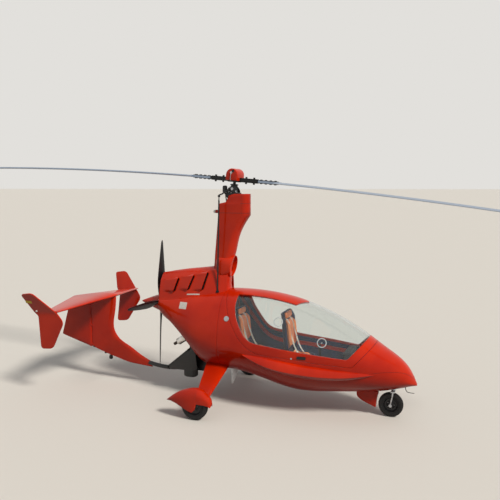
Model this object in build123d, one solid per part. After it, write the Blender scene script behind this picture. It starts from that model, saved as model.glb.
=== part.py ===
# Two-seat enclosed gyrocopter with tandem seats, a pusher propeller and a tailplane with end plates.
# Millimetres. X points to the nose, Y to port, Z up.
# The origin is on the ground, straight below the rotor hub, on the centre plane.
from build123d import *
from math import cos, radians, sin
import os

os.makedirs("parts", exist_ok=True)

# Clearances
seat_gap = 0.3             # soft part to what carries it
shaft_gap = 0.05           # radial gap of a shaft in its bore
face_gap = 0.3             # between the engine's shaft and the propeller's hub
panel_gap = 1.0            # between the tub and the engine cowl

# Cutting blocks reach past the hull by these
reach_half = 700.0
reach_top = 1800.0
curve_steps = 18           # straight steps along a smooth outline

# Hull of the cabin and engine bay
hull_wall = 12.0
cowl_wall = 8.0
nose_x = 2320.0
cowl_rear_x = -1030.0
cowl_seam_x = -75.0        # where the cabin tub meets the engine cowl

# Columns: x, half width, height of the widest line, top, bottom, upper join angle, lower join angle
hull_sections = [
    (nose_x, 14.0, 425.0, 440.0, 411.0, 40.0, 40.0),
    (2262.0, 88.0, 462.0, 560.0, 402.0, 40.0, 40.0),
    (2150.0, 168.0, 520.0, 700.0, 370.0, 36.0, 40.0),
    (1980.0, 252.0, 575.0, 818.0, 326.0, 33.0, 40.0),
    (1700.0, 358.0, 640.0, 1000.0, 286.0, 32.0, 40.0),
    (1300.0, 428.0, 700.0, 1214.0, 240.0, 30.0, 38.0),
    (850.0, 452.0, 730.0, 1372.0, 224.0, 28.0, 38.0),
    (400.0, 455.0, 760.0, 1442.0, 330.0, 28.0, 38.0),
    (0.0, 442.0, 800.0, 1448.0, 392.0, 28.0, 36.0),
    (-380.0, 395.0, 870.0, 1420.0, 440.0, 30.0, 34.0),
    (-700.0, 310.0, 1000.0, 1385.0, 720.0, 34.0, 36.0),
    (cowl_rear_x, 190.0, 1190.0, 1345.0, 1035.0, 40.0, 40.0),
]

# Canopy
canopy_gap = 4.0           # seam round the canopy
canopy_frame_wall = 26.0
glass_wall = 4.0
glass_inset = 1.5          # the glass lies this far inside the painted skin
seam_curve = [             # x, z seen from the side: a smooth line from the roof's rear down and forward
    (-55.0, 1600.0), (-40.0, 1430.0), (36.0, 1200.0), (220.0, 888.0), (520.0, 718.0), (1124.0, 684.0),
    (1612.0, 655.0),
]
seam_front = [(1612.0, 655.0), (1845.0, 905.0), (1900.0, 1000.0), (1600.0, 1600.0), (-55.0, 1600.0)]
window_curve = [           # x, z of the glazed area seen from the side
    (140.0, 1500.0), (126.0, 1300.0), (215.0, 1040.0), (350.0, 880.0), (520.0, 842.0), (813.0, 812.0),
    (1556.0, 748.0),
]
window_front = [(1556.0, 748.0), (1775.0, 985.0), (1850.0, 1100.0), (1600.0, 1600.0), (140.0, 1500.0)]
roof_strip_half = 180.0    # half width of the painted strip along the roof
roof_strip_front_x = 930.0
roof_strip_rear_x = -100.0
roof_strip_low_z = 1000.0
hinge_points = ((520.0, 478.0, 705.0), (1380.0, 448.0, 655.0))   # both lie on the canopy's hinge line
hinge_pin_radius = 5.0
hinge_barrel_radius = 11.0
hinge_knuckle_half = 18.5
hinge_ear_start = 20.0
hinge_ear_end = 28.0
ear_outline = [(-60.0, -16.0), (-60.0, 4.0), (0.0, 6.0), (8.0, -8.0)]       # y, z from the hinge line
knuckle_outline = [(-60.0, 24.0), (-60.0, 54.0), (-12.0, 50.0), (10.0, 2.0), (-8.0, -6.0), (-14.0, 24.0)]

# Side strakes
strake_sections = [        # x, reach beyond the hull's widest line, top height, bottom height
    (270.0, 4.0, 712.0, 700.0),
    (520.0, 60.0, 700.0, 560.0),
    (820.0, 85.0, 668.0, 490.0),
    (1200.0, 80.0, 636.0, 470.0),
    (1560.0, 50.0, 612.0, 500.0),
    (1860.0, 4.0, 590.0, 570.0),
]
strake_root_depth = 60.0   # how far the strake starts inside the hull's widest line
strake_shoulder = (0.25, 0.35)     # share of the reach in from the edge, share of the upper half height
strake_edge = 0.45         # share of the height at which the edge is outermost
strake_chin = (0.30, 0.18)         # share of the reach in from the edge, share of the height

# Wheel well in the nose, round the steering axis
well_radius = 100.0
well_roof_z = 404.0
well_wall = 8.0

# Cowl: the open underside, the raised back and its louvres
cowl_opening_outline = [
    (cowl_rear_x - 60.0, 1000.0), (cowl_rear_x, 1050.0), (-842.0, 1010.0), (-640.0, 850.0), (-500.0, 690.0),
    (-410.0, 520.0), (-390.0, 300.0), (-1300.0, 300.0), (-1300.0, 1000.0),
]
shaft_opening_gap = 40.0
ridge_sections = [         # x, half width at the crease, half width at the foot, top, crease, foot
    (-150.0, 105.0, 190.0, 1745.0, 1700.0, 1330.0),
    (-325.0, 120.0, 192.0, 1720.0, 1666.0, 1330.0),
    (-650.0, 132.0, 200.0, 1677.0, 1594.0, 1320.0),
    (cowl_rear_x, 110.0, 170.0, 1608.0, 1509.0, 1270.0),
]
louvres = [                # x and z at the top, x and z at the foot
    (-755.0, 1562.0, -812.0, 1370.0),
    (-530.0, 1608.0, -603.0, 1408.0),
    (-335.0, 1655.0, -403.0, 1415.0),
]
louvre_width = 42.0
louvre_spine = 90.0        # half width of the back that stays closed

# Cabin
firewall_x = -95.0
firewall_thickness = 12.0
floor_z = 420.0
floor_thickness = 12.0
floor_x = (60.0, 1780.0)
seat_width = 400.0
seats = {                  # x of the back's foot, height of the base, height of the back
    "front": (700.0, 560.0, 640.0),
    "rear": (70.0, 600.0, 600.0),
}
pan_front, pan_lip, pan_lip_rise = 420.0, 10.0, 40.0
seat_corner = (60.0, 10.0)         # where pan and back meet, from the back's foot
seat_heel = (30.0, -10.0)
back_rake = 90.0           # how far the back's top leans to the rear
back_thickness = 18.0
pedestal_run = (60.0, 380.0)
pedestal_half = 150.0
pedestal_sink = 5.0        # the pedestal's top, below the seat's base
pad_thickness = 50.0
pad_side_gap = 20.0
pan_pad = ((425.0, 41.0), (118.0, 22.0), 112.0)    # front and rear of its top, x of its rear foot
back_pad_foot, back_pad_side = 20.0, 40.0
back_pad_top_drop = 10.0
back_pad_heel, back_pad_rise = 0.8, 15.0   # share of its thickness at the foot, and how far that sits higher
panel_outline = [(1500.0, 560.0), (1560.0, 560.0), (1640.0, 860.0), (1560.0, 900.0), (1420.0, 880.0)]
panel_half = 250.0
panel_post_half = 60.0
stick_foot, stick_neck, stick_top = (1180.0, 0.0, floor_z), (1140.0, 0.0, 700.0), (1135.0, 0.0, 800.0)
stick_radius, grip_radius = 12.0, 20.0

# Mast and the intake on its front
mast_sections = [          # z, front x, rear x, half thickness
    (1430.0, -62.0, -330.0, 130.0),
    (1720.0, -46.0, -268.0, 104.0),
    (1940.0, 8.0, -252.0, 98.0),
    (2180.0, 82.0, -230.0, 92.0),
    (2392.0, 213.0, -215.0, 86.0),
]
mast_nose_share = 0.9      # depth of the round nose, as a share of the half thickness
mast_tail_share = 0.75     # half width of the flat tail, as a share of the half thickness
mast_top_z = 2668.0
mast_box_taper = 20.0
mast_shoulder = [          # x, drop below the top, of the slope at the rear of the mast's top
    (-400.0, 122.0), (-206.0, 126.0), (-108.0, 105.0), (-81.0, 57.0), (-68.0, 24.0), (8.0, 0.0),
]
scoop_lean = 10.5
scoop_wall = 8.0
scoop_depth = 110.0
scoop_lip = 20.0
scoop_sections = [         # x, z centre, half width, half height, corner radius
    (-25.0, 1735.0, 126.0, 144.0, 122.0),
    (-110.0, 1680.0, 132.0, 196.0, 100.0),
    (-250.0, 1652.0, 92.0, 222.0, 60.0),
]

# Engine and propeller
prop_x = -1090.0
prop_z = 1190.0
prop_radius = 850.0
prop_blades = 4
prop_park_angle = -3.5
prop_hub_radius = 95.0
prop_hub_length = 50.0
spinner_tip_x = -1390.0
spinner_radius = 120.0
spinner_tip_flat = 3.0
prop_shaft_radius = 24.0
engine_size = (440.0, 400.0, 270.0)
engine_centre = (-560.0, 0.0, 1120.0)
gearbox_length = 220.0
gearbox_radius = 60.0
mount_tube_radius = 13.0
mount_tubes = [            # z at the firewall, z at the engine
    (960.0, 1010.0),
    (1250.0, 1235.0),
]
mount_wall_y, mount_engine_y, mount_engine_x = 170.0, 130.0, -345.0
prop_stations = [          # radius, chord, thickness, pitch
    (70.0, 62.0, 36.0, 42.0),
    (260.0, 118.0, 24.0, 30.0),
    (560.0, 104.0, 14.0, 18.0),
    (prop_radius, 58.0, 7.0, 12.0),
]
spinner_belly = (150.0, 76.0)      # from the tip, and out from the axis

# Exhaust, cooler and oil tank below the cowl
muffler_radius = 48.0
muffler_front = (-610.0, -110.0, 799.0)
header_x, header_top_z, header_foot_z, header_radius = -640.0, 985.0, 780.0, 22.0
pipe_start, pipe_end = (-778.0, -110.0, 692.0), (-836.0, -110.0, 655.0)
tail_pipe_radius = 20.0
tail_pipe_bore = 16.0
cooler_centre, cooler_size, cooler_lean = (-745.0, 0.0, 470.0), (430.0, 330.0, 60.0), -40.0
oil_tank_limits = (-690.0, -500.0, -170.0, -34.0, 235.0, 380.0)

# Rotor
hub_z = 2850.0
disc_tilt = 4.85           # the parked disc leans forward by this angle
rotor_radius = 4375.0
rotor_azimuth = -5.5
blade_chord = 220.0
blade_thickness = 28.0
blade_root_end = 640.0
blade_root_thick = 28.0
blade_crown = 0.6          # share of the thickness above the chord line
blade_lead = 0.25          # share of the chord ahead of the span line
blade_droop_radius = 60200.0   # a parked blade hangs in an arc of about this radius
blade_stations = (1800.0, 3100.0, rotor_radius)
hub_bar_half = 600.0
hub_bar_width = 64.0
hub_core_half = 340.0
hub_block = (150.0, 96.0, 64.0)
clamp_plate = 7.0
rotor_shaft_radius = 20.0
shaft_drop, shaft_length = 55.0, 60.0      # its middle below the hub's centre, and its length
bearing_drop, bearing_length, bearing_radius = 78.0, 46.0, 44.0
hub_bore_drop = 40.0
cap_half, cap_height, cap_length, cap_base = 83.0, 150.0, 200.0, -16.0
head_top_z = mast_top_z + 14.0
head_outline = [(-120.0, mast_top_z), (-120.0, head_top_z), (70.0, head_top_z), (70.0, mast_top_z),
                (-80.0, mast_top_z - 56.0)]
head_half = 60.0
cheek_x, cheek_y, cheek_z = (-70.0, 30.0), (36.0, 48.0), (head_top_z, mast_top_z + 92.0)
gimbal_x, gimbal_z = (-60.0, 20.0), (mast_top_z + 40.0, mast_top_z + 86.0)
lever_root = (-50.0, -40.0, 2735.0)
lever_radius = 10.0
rod_top, rod_foot = (-151.0, -160.0, 2640.0), (-179.0, -160.0, 1380.0)
rod_radius = 9.0
rod_end_radius = 17.0

# Landing gear
main_x = -148.0
main_y = 920.0
main_tyre_radius = 163.0
main_tyre_width = 92.0
nose_wheel_x = 2022.0
nose_tyre_radius = 148.0
nose_tyre_width = 84.0
nose_trail = 26.0
axle_radius = 12.5
tail_wheel_x = -1914.0
tail_wheel_z = 336.0
tail_wheel_radius = 30.0
tail_wheel_width = 26.0
tail_axle_radius = 5.0
tail_bracket_half, tail_bracket_y, tail_bracket_top_z = 12.0, (15.0, 20.0), 375.0
rim_depth = 55.0     # height of a road tyre from its rim
rim_width_share = 0.72
rim_lip, rim_dish = 14.0, 24.0
rim_hub_wall = 18.0
# Columns: front x, rear x, y, front z, rear z, thickness
leg_root_section = (22.0, -306.0, 200.0, 506.0, 514.0, 56.0)
leg_foot_section = (12.0, -162.0, main_y - 70.0, 270.0, 276.0, 30.0)
spat_outline = [           # x, z
    (-524.0, 200.0), (-388.0, 303.0), (-271.0, 358.0), (-169.0, 384.0), (-85.0, 380.0), (-10.0, 338.0),
    (42.0, 289.0), (72.0, 240.0), (74.0, 205.0), (62.0, 172.0), (30.0, 205.0), (-100.0, 213.0),
    (-107.0, 160.0), (-160.0, 104.0), (-225.0, 124.0), (-300.0, 158.0), (-374.0, 188.0), (-450.0, 204.0),
]
spat_half = 82.0
spat_plan = [              # x, half width
    (-528.0, 6.0), (-460.0, 34.0), (-340.0, 66.0), (-200.0, spat_half), (-60.0, 78.0), (30.0, 54.0),
    (78.0, 16.0),
]
spat_top = 420.0
spat_wall = 6.0
spat_tyre_gap = 14.0
knuckle_run, knuckle_depth, knuckle_z = (-34.0, 60.0), 20.0, (130.0, 300.0)
fork_gap = 12.0            # tyre to fork arm
fork_arm_radius = 9.0
fork_arm_stand = 6.0       # the arm's centre, out from that gap
crown_gap = 14.0           # tyre to fork crown
crown_half, crown_thickness = 26.0, 16.0
crown_side = 8.0           # the crown reaches past the arm by this
steer_stem_radius, steer_stem_length = 20.0, 112.0
steer_bearing_radius, steer_bearing_length = 34.0, 50.0
tow_bore_radius = 6.0
mudguard_outline = [(1640.0, 262.0), (1626.0, 207.0), (1680.0, 165.0), (1850.0, 100.0), (1850.0, 300.0),
                    (1800.0, 300.0)]
mudguard_half = 45.0

# Tail
boom_radius = 28.0
fin_thickness = 46.0
fin_wall = 4.0
rudder_hinge_x = -2240.0
rudder_bottom_z = 470.0
rudder_top_z = 1090.0
rudder_outline = [(rudder_hinge_x, rudder_bottom_z), (rudder_hinge_x, rudder_top_z), (-2600.0, 1080.0),
                  (-2740.0, 608.0)]
rudder_half, rudder_post_radius = 12.0, 18.0
hinge_lug_gap, hinge_lug_thick, rudder_pin_radius, rudder_pin_reach = 5.0, 10.0, 6.0, 40.0
hinge_lug_rear, hinge_lug_front, hinge_lug_half = 14.0, 78.0, 11.0
subframe_half = 34.0
subframe_beam, subframe_post = (-620.0, -250.0, 300.0, 500.0), (-650.0, -600.0, 300.0, 640.0)  # x, x, z, z
boom_points = [(-650.0, 0.0, 352.0), (-860.0, 0.0, 298.0), (-1140.0, 0.0, 298.0), (-1290.0, 0.0, 322.0)]
boom_bend = 400.0
fin_lead = [               # x, z up the boom and the leading edge
    (-1240.0, 334.0), (-1440.0, 430.0), (-1600.0, 528.0), (-1750.0, 612.0), (-1850.0, 760.0),
    (-1830.0, 1000.0), (-1806.0, 1225.0),
]
fin_rest = [
    (-1806.0, 1225.0), (rudder_hinge_x + 30.0, 1195.0), (rudder_hinge_x + 30.0, 470.0), (-1932.0, 380.0),
    (-1604.0, 296.0), (-1240.0, 262.0), (-1240.0, 334.0),
]
stab_root = (-1800.0, -2510.0, 1238.0, 1190.0, 84.0)       # front x, rear x, front z, rear z, thickness
stab_tip = (-2035.0, -2260.0, 1168.0, 1150.0, 26.0)
core_inset_root = (-40.0, 90.0, -4.0, 6.0, -12.0)          # what the hollow core adds to those columns
core_inset_tip = (-20.0, 60.0, -2.0, 4.0, -12.0)
stab_crown = 0.6           # share of the thickness above the chord line
core_web, core_end = 6.0, 20.0     # solid at the centre plane and at the tip
plate_y = 965.0
plate_joint = 6.0          # the stabiliser's tip inside the end plate
plate_thickness = 14.0
plate_kink_z = 1145.0
plate_low = [(-2061.0, 1150.0), (-1975.0, 1030.0), (-2192.0, 662.0), (-2377.0, 646.0), (-2355.0, 1100.0),
             (-2410.0, 1140.0)]
plate_high = [(-2410.0, 1140.0), (-2514.0, 1390.0), (-2332.0, 1416.0), (-2061.0, 1150.0)]
plate_low_lean, plate_high_lean = 7.5, 27.5

# Small fittings
beacon_z, beacon_x, beacon_radius = 2440.0, (-245.0, -150.0), 16.0
fuel_cap_at, fuel_cap_y, fuel_cap_radius = (39.0, 1123.0), (-397.0, -370.0), 34.0
pitot_points, pitot_radius = [(2190.0, 0.0, 400.0), (2200.0, 0.0, 320.0), (2290.0, 0.0, 315.0)], 5.0
step_outline = [(-13.0, 460.0), (-13.0, 205.0), (10.0, 205.0), (110.0, 460.0)]
step_y = (-106.0, -94.0)


def write(name, shape):
    """One STEP file for one piece."""
    export_step(shape, f"parts/{name}.step")


def oval_radii(half_w, height, join):
    """Radii of the side arc and the crown arc of a quarter oval whose arcs join at an angle."""
    c, s = cos(radians(join)), sin(radians(join))
    scale = 1 - c - s
    side = (half_w * (1 - s) - height * c) / scale
    crown = (height * (1 - c) - half_w * s) / scale
    return side, crown


def oval_half(half_w, z_wide, height, join, sign):
    """Points of the upper (sign 1) or lower (sign -1) half of an oval, starboard to port."""
    side, crown = oval_radii(half_w, height, join)
    a, b = radians(join), radians(join / 2)
    mid = (half_w - side + side * cos(b), z_wide + sign * side * sin(b))
    joint = (half_w - side + side * cos(a), z_wide + sign * side * sin(a))
    return mid, joint, (0.0, z_wide + sign * height)


def hull_ring(section, inset=0.0):
    """Closed ring of six arcs at one station, moved inwards by the inset."""
    x, half_w, z_wide, z_top, z_bottom, join_up, join_low = section
    w = half_w - inset
    up_mid, up_join, top = oval_half(w, z_wide, z_top - z_wide - inset, join_up, 1)
    low_mid, low_join, low = oval_half(w, z_wide, z_wide - z_bottom - inset, join_low, -1)

    def p(point, side):
        return (x, side * point[0], point[1])

    wide = (w, z_wide)
    arcs = [
        ThreePointArc(p(wide, -1), p(up_mid, -1), p(up_join, -1)),
        ThreePointArc(p(up_join, -1), p(top, 1), p(up_join, 1)),
        ThreePointArc(p(up_join, 1), p(up_mid, 1), p(wide, 1)),
        ThreePointArc(p(wide, 1), p(low_mid, 1), p(low_join, 1)),
        ThreePointArc(p(low_join, 1), p(low, 1), p(low_join, -1)),
        ThreePointArc(p(low_join, -1), p(low_mid, -1), p(wide, -1)),
    ]
    return Wire(arcs)


def prism_y(points, y0, y1):
    """Straight block with a side outline in X and Z, between two Y."""
    face = make_face(Plane.XZ * Polyline(points, close=True))
    return extrude(Pos(0, y0, 0) * face, amount=y1 - y0, dir=(0, 1, 0))


def prism_z(points, z0, z1):
    """Straight block with a plan outline in X and Y, between two Z."""
    face = make_face(Polyline(points, close=True))
    return extrude(Pos(0, 0, z0) * face, amount=z1 - z0, dir=(0, 0, 1))


def block(x0, x1, y0, y1, z0, z1):
    """Rectangular block from its limits."""
    return Pos((x0 + x1) / 2, (y0 + y1) / 2, (z0 + z1) / 2) * Box(x1 - x0, y1 - y0, z1 - z0)


def rod_y(x, z, y0, y1, radius):
    """Round bar along Y."""
    return Pos(x, (y0 + y1) / 2, z) * Rot(90, 0, 0) * Cylinder(radius, y1 - y0)


def rod_x(y, z, x0, x1, radius):
    """Round bar along X."""
    return Pos((x0 + x1) / 2, y, z) * Rot(0, 90, 0) * Cylinder(radius, x1 - x0)


def bar(start, end, radius):
    """Round bar between two points."""
    line = Line(start, end)
    return sweep(Plane(origin=line @ 0, z_dir=line % 0) * Circle(radius), path=line)


def lens(x_front, x_rear, y, z_front, z_rear, thickness, camber=0.5):
    """Wing section in a plane across Y, from two arcs; camber is the upper share of the thickness."""
    xm, zm = (x_front + x_rear) / 2, (z_front + z_rear) / 2
    front, rear = (x_front, y, z_front), (x_rear, y, z_rear)
    return Wire([
        ThreePointArc(front, (xm, y, zm + camber * thickness), rear),
        ThreePointArc(rear, (xm, y, zm - (1 - camber) * thickness), front),
    ])


def both(shape):
    """The piece and its mirror image across the centre plane."""
    return shape, mirror(shape, Plane.XZ)


# Hull
outer = Solid.make_loft([hull_ring(s) for s in hull_sections])
front_sections = [s for s in hull_sections if s[0] < nose_x]
inner_tub = Solid.make_loft([hull_ring(s, hull_wall) for s in front_sections])
inner_cowl = Solid.make_loft([hull_ring(s, cowl_wall) for s in front_sections])


def side_face(curve, runs):
    """Face in the side plane, bounded by a smooth curve in short steps and straight runs to its start."""
    smooth = Spline([(x, z, 0) for x, z in curve])
    stepped = [smooth @ (k / curve_steps) for k in range(curve_steps + 1)]
    return make_face(Plane.XZ * Polyline([(v.X, v.Y) for v in stepped] + runs[1:-1], close=True))


def across(face):
    """The face carried through the whole width of the hull."""
    return extrude(Pos(0, -reach_half, 0) * face, amount=2 * reach_half, dir=(0, 1, 0))


canopy_zone = across(side_face(seam_curve, seam_front))
window_zone = across(side_face(window_curve, window_front))
roof_strip = block(roof_strip_rear_x, roof_strip_front_x, -roof_strip_half, roof_strip_half,
                   roof_strip_low_z, reach_top)
glazing_zone = window_zone - roof_strip

# Canopy: a painted frame that holds one blown pane
inner_frame = Solid.make_loft([hull_ring(s, canopy_frame_wall) for s in front_sections])
glass_out = Solid.make_loft([hull_ring(s, glass_inset) for s in front_sections])
glass_in = Solid.make_loft([hull_ring(s, glass_inset + glass_wall) for s in front_sections])
seam_inner = offset(side_face(seam_curve, seam_front), amount=-canopy_gap, kind=Kind.INTERSECTION)
canopy_body_zone = across(seam_inner)
canopy_frame = (outer - inner_frame) & canopy_body_zone
canopy_frame = canopy_frame - glazing_zone
canopy_glass = (glass_out - glass_in) & glazing_zone

# Tub: nose, floor, sides and sills, open above for the canopy
tub = (outer - inner_tub) - canopy_zone
tub = tub & block(cowl_seam_x, nose_x + 10, -reach_half, reach_half, 0, reach_top)

# Wheel well in the nose
steer_x = nose_wheel_x + nose_trail
well = Pos(steer_x, 0, well_roof_z / 2) * Cylinder(well_radius, well_roof_z)
well_outer = Pos(steer_x, 0, (well_roof_z + well_wall) / 2) * Cylinder(
    well_radius + well_wall, well_roof_z + well_wall)
tub = tub + (well_outer & outer) - well


# Strakes
def hull_half_width(x):
    """Half width of the hull at a station, by straight lines between the sections."""
    for front, rear in zip(hull_sections, hull_sections[1:]):
        if rear[0] <= x <= front[0]:
            share = (x - rear[0]) / (front[0] - rear[0])
            return rear[1] + share * (front[1] - rear[1])
    return hull_sections[-1][1]


def strake_ring(x, reach, z_high, z_low):
    """Rounded wedge section of a strake, from inside the hull out to its edge."""
    station = hull_half_width(x)
    y_in, y_out = station - strake_root_depth, station + reach
    z_mid = (z_high + z_low) / 2
    shoulder = (x, y_out - strake_shoulder[0] * reach, z_mid + strake_shoulder[1] * (z_high - z_mid))
    edge = (x, y_out, z_low + strake_edge * (z_high - z_low))
    chin = (x, y_out - strake_chin[0] * reach, z_low + strake_chin[1] * (z_high - z_low))
    high, low = (x, y_in, z_high), (x, y_in, z_low)
    return Wire([Line(high, shoulder), ThreePointArc(shoulder, edge, chin), Line(chin, low), Line(low, high)])


strake = Solid.make_loft([strake_ring(*s) for s in strake_sections])
strake = strake - outer
strake_left, strake_right = both(strake)

# Canopy hinges on the port sill: ears and pins on the tub, knuckles on the canopy's frame
hinge_dir = Vector(*hinge_points[1]) - Vector(*hinge_points[0])


def prism_x(points, x0, x1):
    """Straight block with a front outline in Y and Z, between two X."""
    face = make_face(Plane.YZ * Polyline(points, close=True))
    return extrude(Pos(x0, 0, 0) * face, amount=x1 - x0, dir=(1, 0, 0))


def along_hinge(point, half_length, radius):
    """Round bar on the hinge line, centred on a point."""
    middle = Vector(*point)
    step = hinge_dir.normalized() * half_length
    return bar(middle - step, middle + step, radius)


hinges, knuckles = None, None
for point in hinge_points:
    x, y, z = point
    pin = along_hinge(point, hinge_ear_end, hinge_pin_radius)
    outline = [(y + dy, z + dz) for dy, dz in ear_outline]
    ears = prism_x(outline, x - hinge_ear_end, x - hinge_ear_start) + prism_x(
        outline, x + hinge_ear_start, x + hinge_ear_end)
    fixed = ears + pin - outer - strake_left
    fixed = max(fixed.solids(), key=lambda piece: piece.volume)
    arm = prism_x([(y + dy, z + dz) for dy, dz in knuckle_outline], x - hinge_knuckle_half,
                  x + hinge_knuckle_half)
    barrel = along_hinge(point, hinge_knuckle_half, hinge_barrel_radius)
    knuckle = arm + barrel - along_hinge(point, 2 * hinge_ear_end, hinge_pin_radius + shaft_gap) - outer
    knuckle = max(knuckle.solids(), key=lambda piece: piece.volume)
    hinges = fixed if hinges is None else Compound(children=[hinges, fixed])
    knuckles = knuckle if knuckles is None else Compound(children=[knuckles, knuckle])

# Engine cowl with its raised back
cowl_opening = prism_y(cowl_opening_outline, -reach_half, reach_half)


def ridge_ring(x, half_top, half_foot, z_top, z_shoulder, z_foot, inset=0.0):
    """Roof-shaped section of the raised back: a narrow crown, a crease and steep sides."""
    ht, hf = half_top - inset, half_foot - inset
    zt, zs = z_top - inset, z_shoulder - inset
    return Wire(Polyline([
        (x, -hf, z_foot), (x, -ht, zs), (x, 0, zt), (x, ht, zs), (x, hf, z_foot),
    ], close=True))


ridge_outer = Solid.make_loft([ridge_ring(*s) for s in ridge_sections])
ridge_inner = Solid.make_loft([ridge_ring(*s, inset=cowl_wall) for s in ridge_sections])
ridge_front_x = ridge_sections[0][0]
aft = block(cowl_rear_x - 100, cowl_seam_x - panel_gap, -reach_half, reach_half, 0, reach_top)
cowl_solid = (outer & aft) + ridge_outer
cowl_hollow = (inner_cowl & block(cowl_rear_x + cowl_wall, nose_x, -reach_half, reach_half, 0, reach_top)) + (
    ridge_inner & block(cowl_rear_x + cowl_wall, ridge_front_x - cowl_wall, -reach_half, reach_half, 0,
                        reach_top))
cowl = cowl_solid - cowl_hollow - cowl_opening
cowl = cowl - rod_x(0, prop_z, cowl_rear_x - 50, cowl_rear_x + 50, prop_shaft_radius + shaft_opening_gap)
for x_high, z_high, x_low, z_low in louvres:
    slot = prism_y([(x_high, z_high), (x_low, z_low), (x_low - louvre_width, z_low),
                    (x_high - louvre_width, z_high - louvre_width)], -reach_half, reach_half)
    cowl = cowl - (slot - block(cowl_rear_x, 0, -louvre_spine, louvre_spine, 0, reach_top))

# Firewall between cabin and engine bay
firewall_rear_x = firewall_x - firewall_thickness
firewall = inner_cowl & block(firewall_rear_x, firewall_x, -reach_half, reach_half, 0, reach_top)

# Cabin floor
floor = block(*floor_x, -reach_half, reach_half, floor_z, floor_z + floor_thickness) & inner_tub


# Seats: a shell with a base, and cushions
def seat_shell(x_back, base_z, height):
    """Bucket: a pan and a raked back in one piece, on a pedestal."""
    x_top = x_back - back_rake
    outline = [(x_back + pan_front, base_z), (x_back + pan_front + pan_lip, base_z + pan_lip_rise),
               (x_back + seat_corner[0], base_z + seat_corner[1]), (x_top, base_z + height),
               (x_top - back_thickness, base_z + height), (x_back + seat_heel[0], base_z + seat_heel[1])]
    shell = prism_y(outline, -seat_width / 2, seat_width / 2)
    pedestal = block(x_back + pedestal_run[0], x_back + pedestal_run[1], -pedestal_half, pedestal_half,
                     floor_z + floor_thickness, base_z - pedestal_sink)
    return shell, pedestal


def seat_cushions(x_back, base_z, height):
    """Pan pad and back pad as plain closed solids."""
    corner_x, corner_z = seat_corner
    pan_slope = (pan_lip_rise - corner_z) / (pan_front + pan_lip - corner_x)
    back_slope = (back_rake + corner_x) / (height - corner_z)
    (x_front, z_front), (x_rear, z_rear), x_foot = pan_pad

    def pan_z(x):
        return base_z + corner_z + (x - corner_x) * pan_slope + seat_gap

    def back_x(z):
        return x_back + corner_x - (z - corner_z) * back_slope + seat_gap

    pan = prism_y([(x_back + x_front, pan_z(x_front)), (x_back + x_front, base_z + z_front + pad_thickness),
                   (x_back + x_rear, base_z + z_rear + pad_thickness), (x_back + x_foot, pan_z(x_foot))],
                  pad_side_gap - seat_width / 2, seat_width / 2 - pad_side_gap)
    z_low, z_high = corner_z + back_pad_foot, height - back_pad_top_drop
    back = prism_y([(back_x(z_low), base_z + z_low), (back_x(z_high), base_z + z_high),
                    (back_x(z_high) + pad_thickness, base_z + z_high),
                    (back_x(z_low) + back_pad_heel * pad_thickness, base_z + z_low + back_pad_rise)],
                   back_pad_side - seat_width / 2, seat_width / 2 - back_pad_side)
    return pan, back


def seat(place):
    """Shell with its pedestal, and the two cushions that rest on it."""
    shell, pedestal = seat_shell(*place)
    pads = [pad - Pos(seat_gap, 0, seat_gap) * shell for pad in seat_cushions(*place)]
    return shell + pedestal, Compound(children=pads)


front_seat, front_cushions = seat(seats["front"])
rear_seat, rear_cushions = seat(seats["rear"])

# Instrument panel
panel = prism_y(panel_outline, -panel_half, panel_half) & inner_frame
post_x0, post_x1 = panel_outline[0][0], panel_outline[1][0]
panel = panel + block(post_x0, post_x1, -panel_post_half, panel_post_half, floor_z + floor_thickness,
                      panel_outline[0][1])

# Control stick with its grip, on the floor
stick = bar(stick_foot, stick_neck, stick_radius) + bar(stick_neck, stick_top, grip_radius)
stick = stick - block(0, nose_x, -reach_half, reach_half, 0, floor_z + floor_thickness)


# Mast
def mast_ring(z, x_front, x_rear, half):
    """Section with a round nose and a flat tail."""
    nose = mast_nose_share * half
    tail = mast_tail_share * half
    return Wire([
        ThreePointArc((x_front - nose, -half, z), (x_front, 0, z), (x_front - nose, half, z)),
        Line((x_front - nose, half, z), (x_rear, tail, z)),
        Line((x_rear, tail, z), (x_rear, -tail, z)),
        Line((x_rear, -tail, z), (x_front - nose, -half, z)),
    ])


mast_solid = Solid.make_loft([mast_ring(*s) for s in mast_sections])
box_z, box_front, box_rear, box_half = mast_sections[-1]
mast_box = Solid.make_loft([mast_ring(box_z, box_front, box_rear, box_half),
                            mast_ring(mast_top_z, box_front, box_rear + mast_box_taper, box_half)],
                           ruled=True)
mast_solid = mast_solid + mast_box
shoulder_rear_x, shoulder_front_x = mast_shoulder[0][0], mast_shoulder[-1][0]
shoulder_cut = [(x, mast_top_z - drop) for x, drop in mast_shoulder]
shoulder_cut = shoulder_cut + [(shoulder_front_x, mast_top_z + 10), (shoulder_rear_x, mast_top_z + 10)]
mast_solid = mast_solid - prism_y(shoulder_cut, -reach_half, reach_half)
mast = mast_solid - outer - ridge_outer


# Intake on the front of the mast's foot: a collar whose mouth leans forward
def scoop_ring(x, z, half_w, half_h, corner, lean, inset=0.0):
    """Rounded section across the air's way, leaning about Y."""
    face = RectangleRounded(2 * (half_h - inset), 2 * (half_w - inset), corner - inset)
    plane = Plane(origin=(x, 0, z), x_dir=(sin(radians(lean)), 0, cos(radians(lean))),
                  z_dir=(cos(radians(lean)), 0, -sin(radians(lean))))
    return (plane * face).face().outer_wire()


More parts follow.
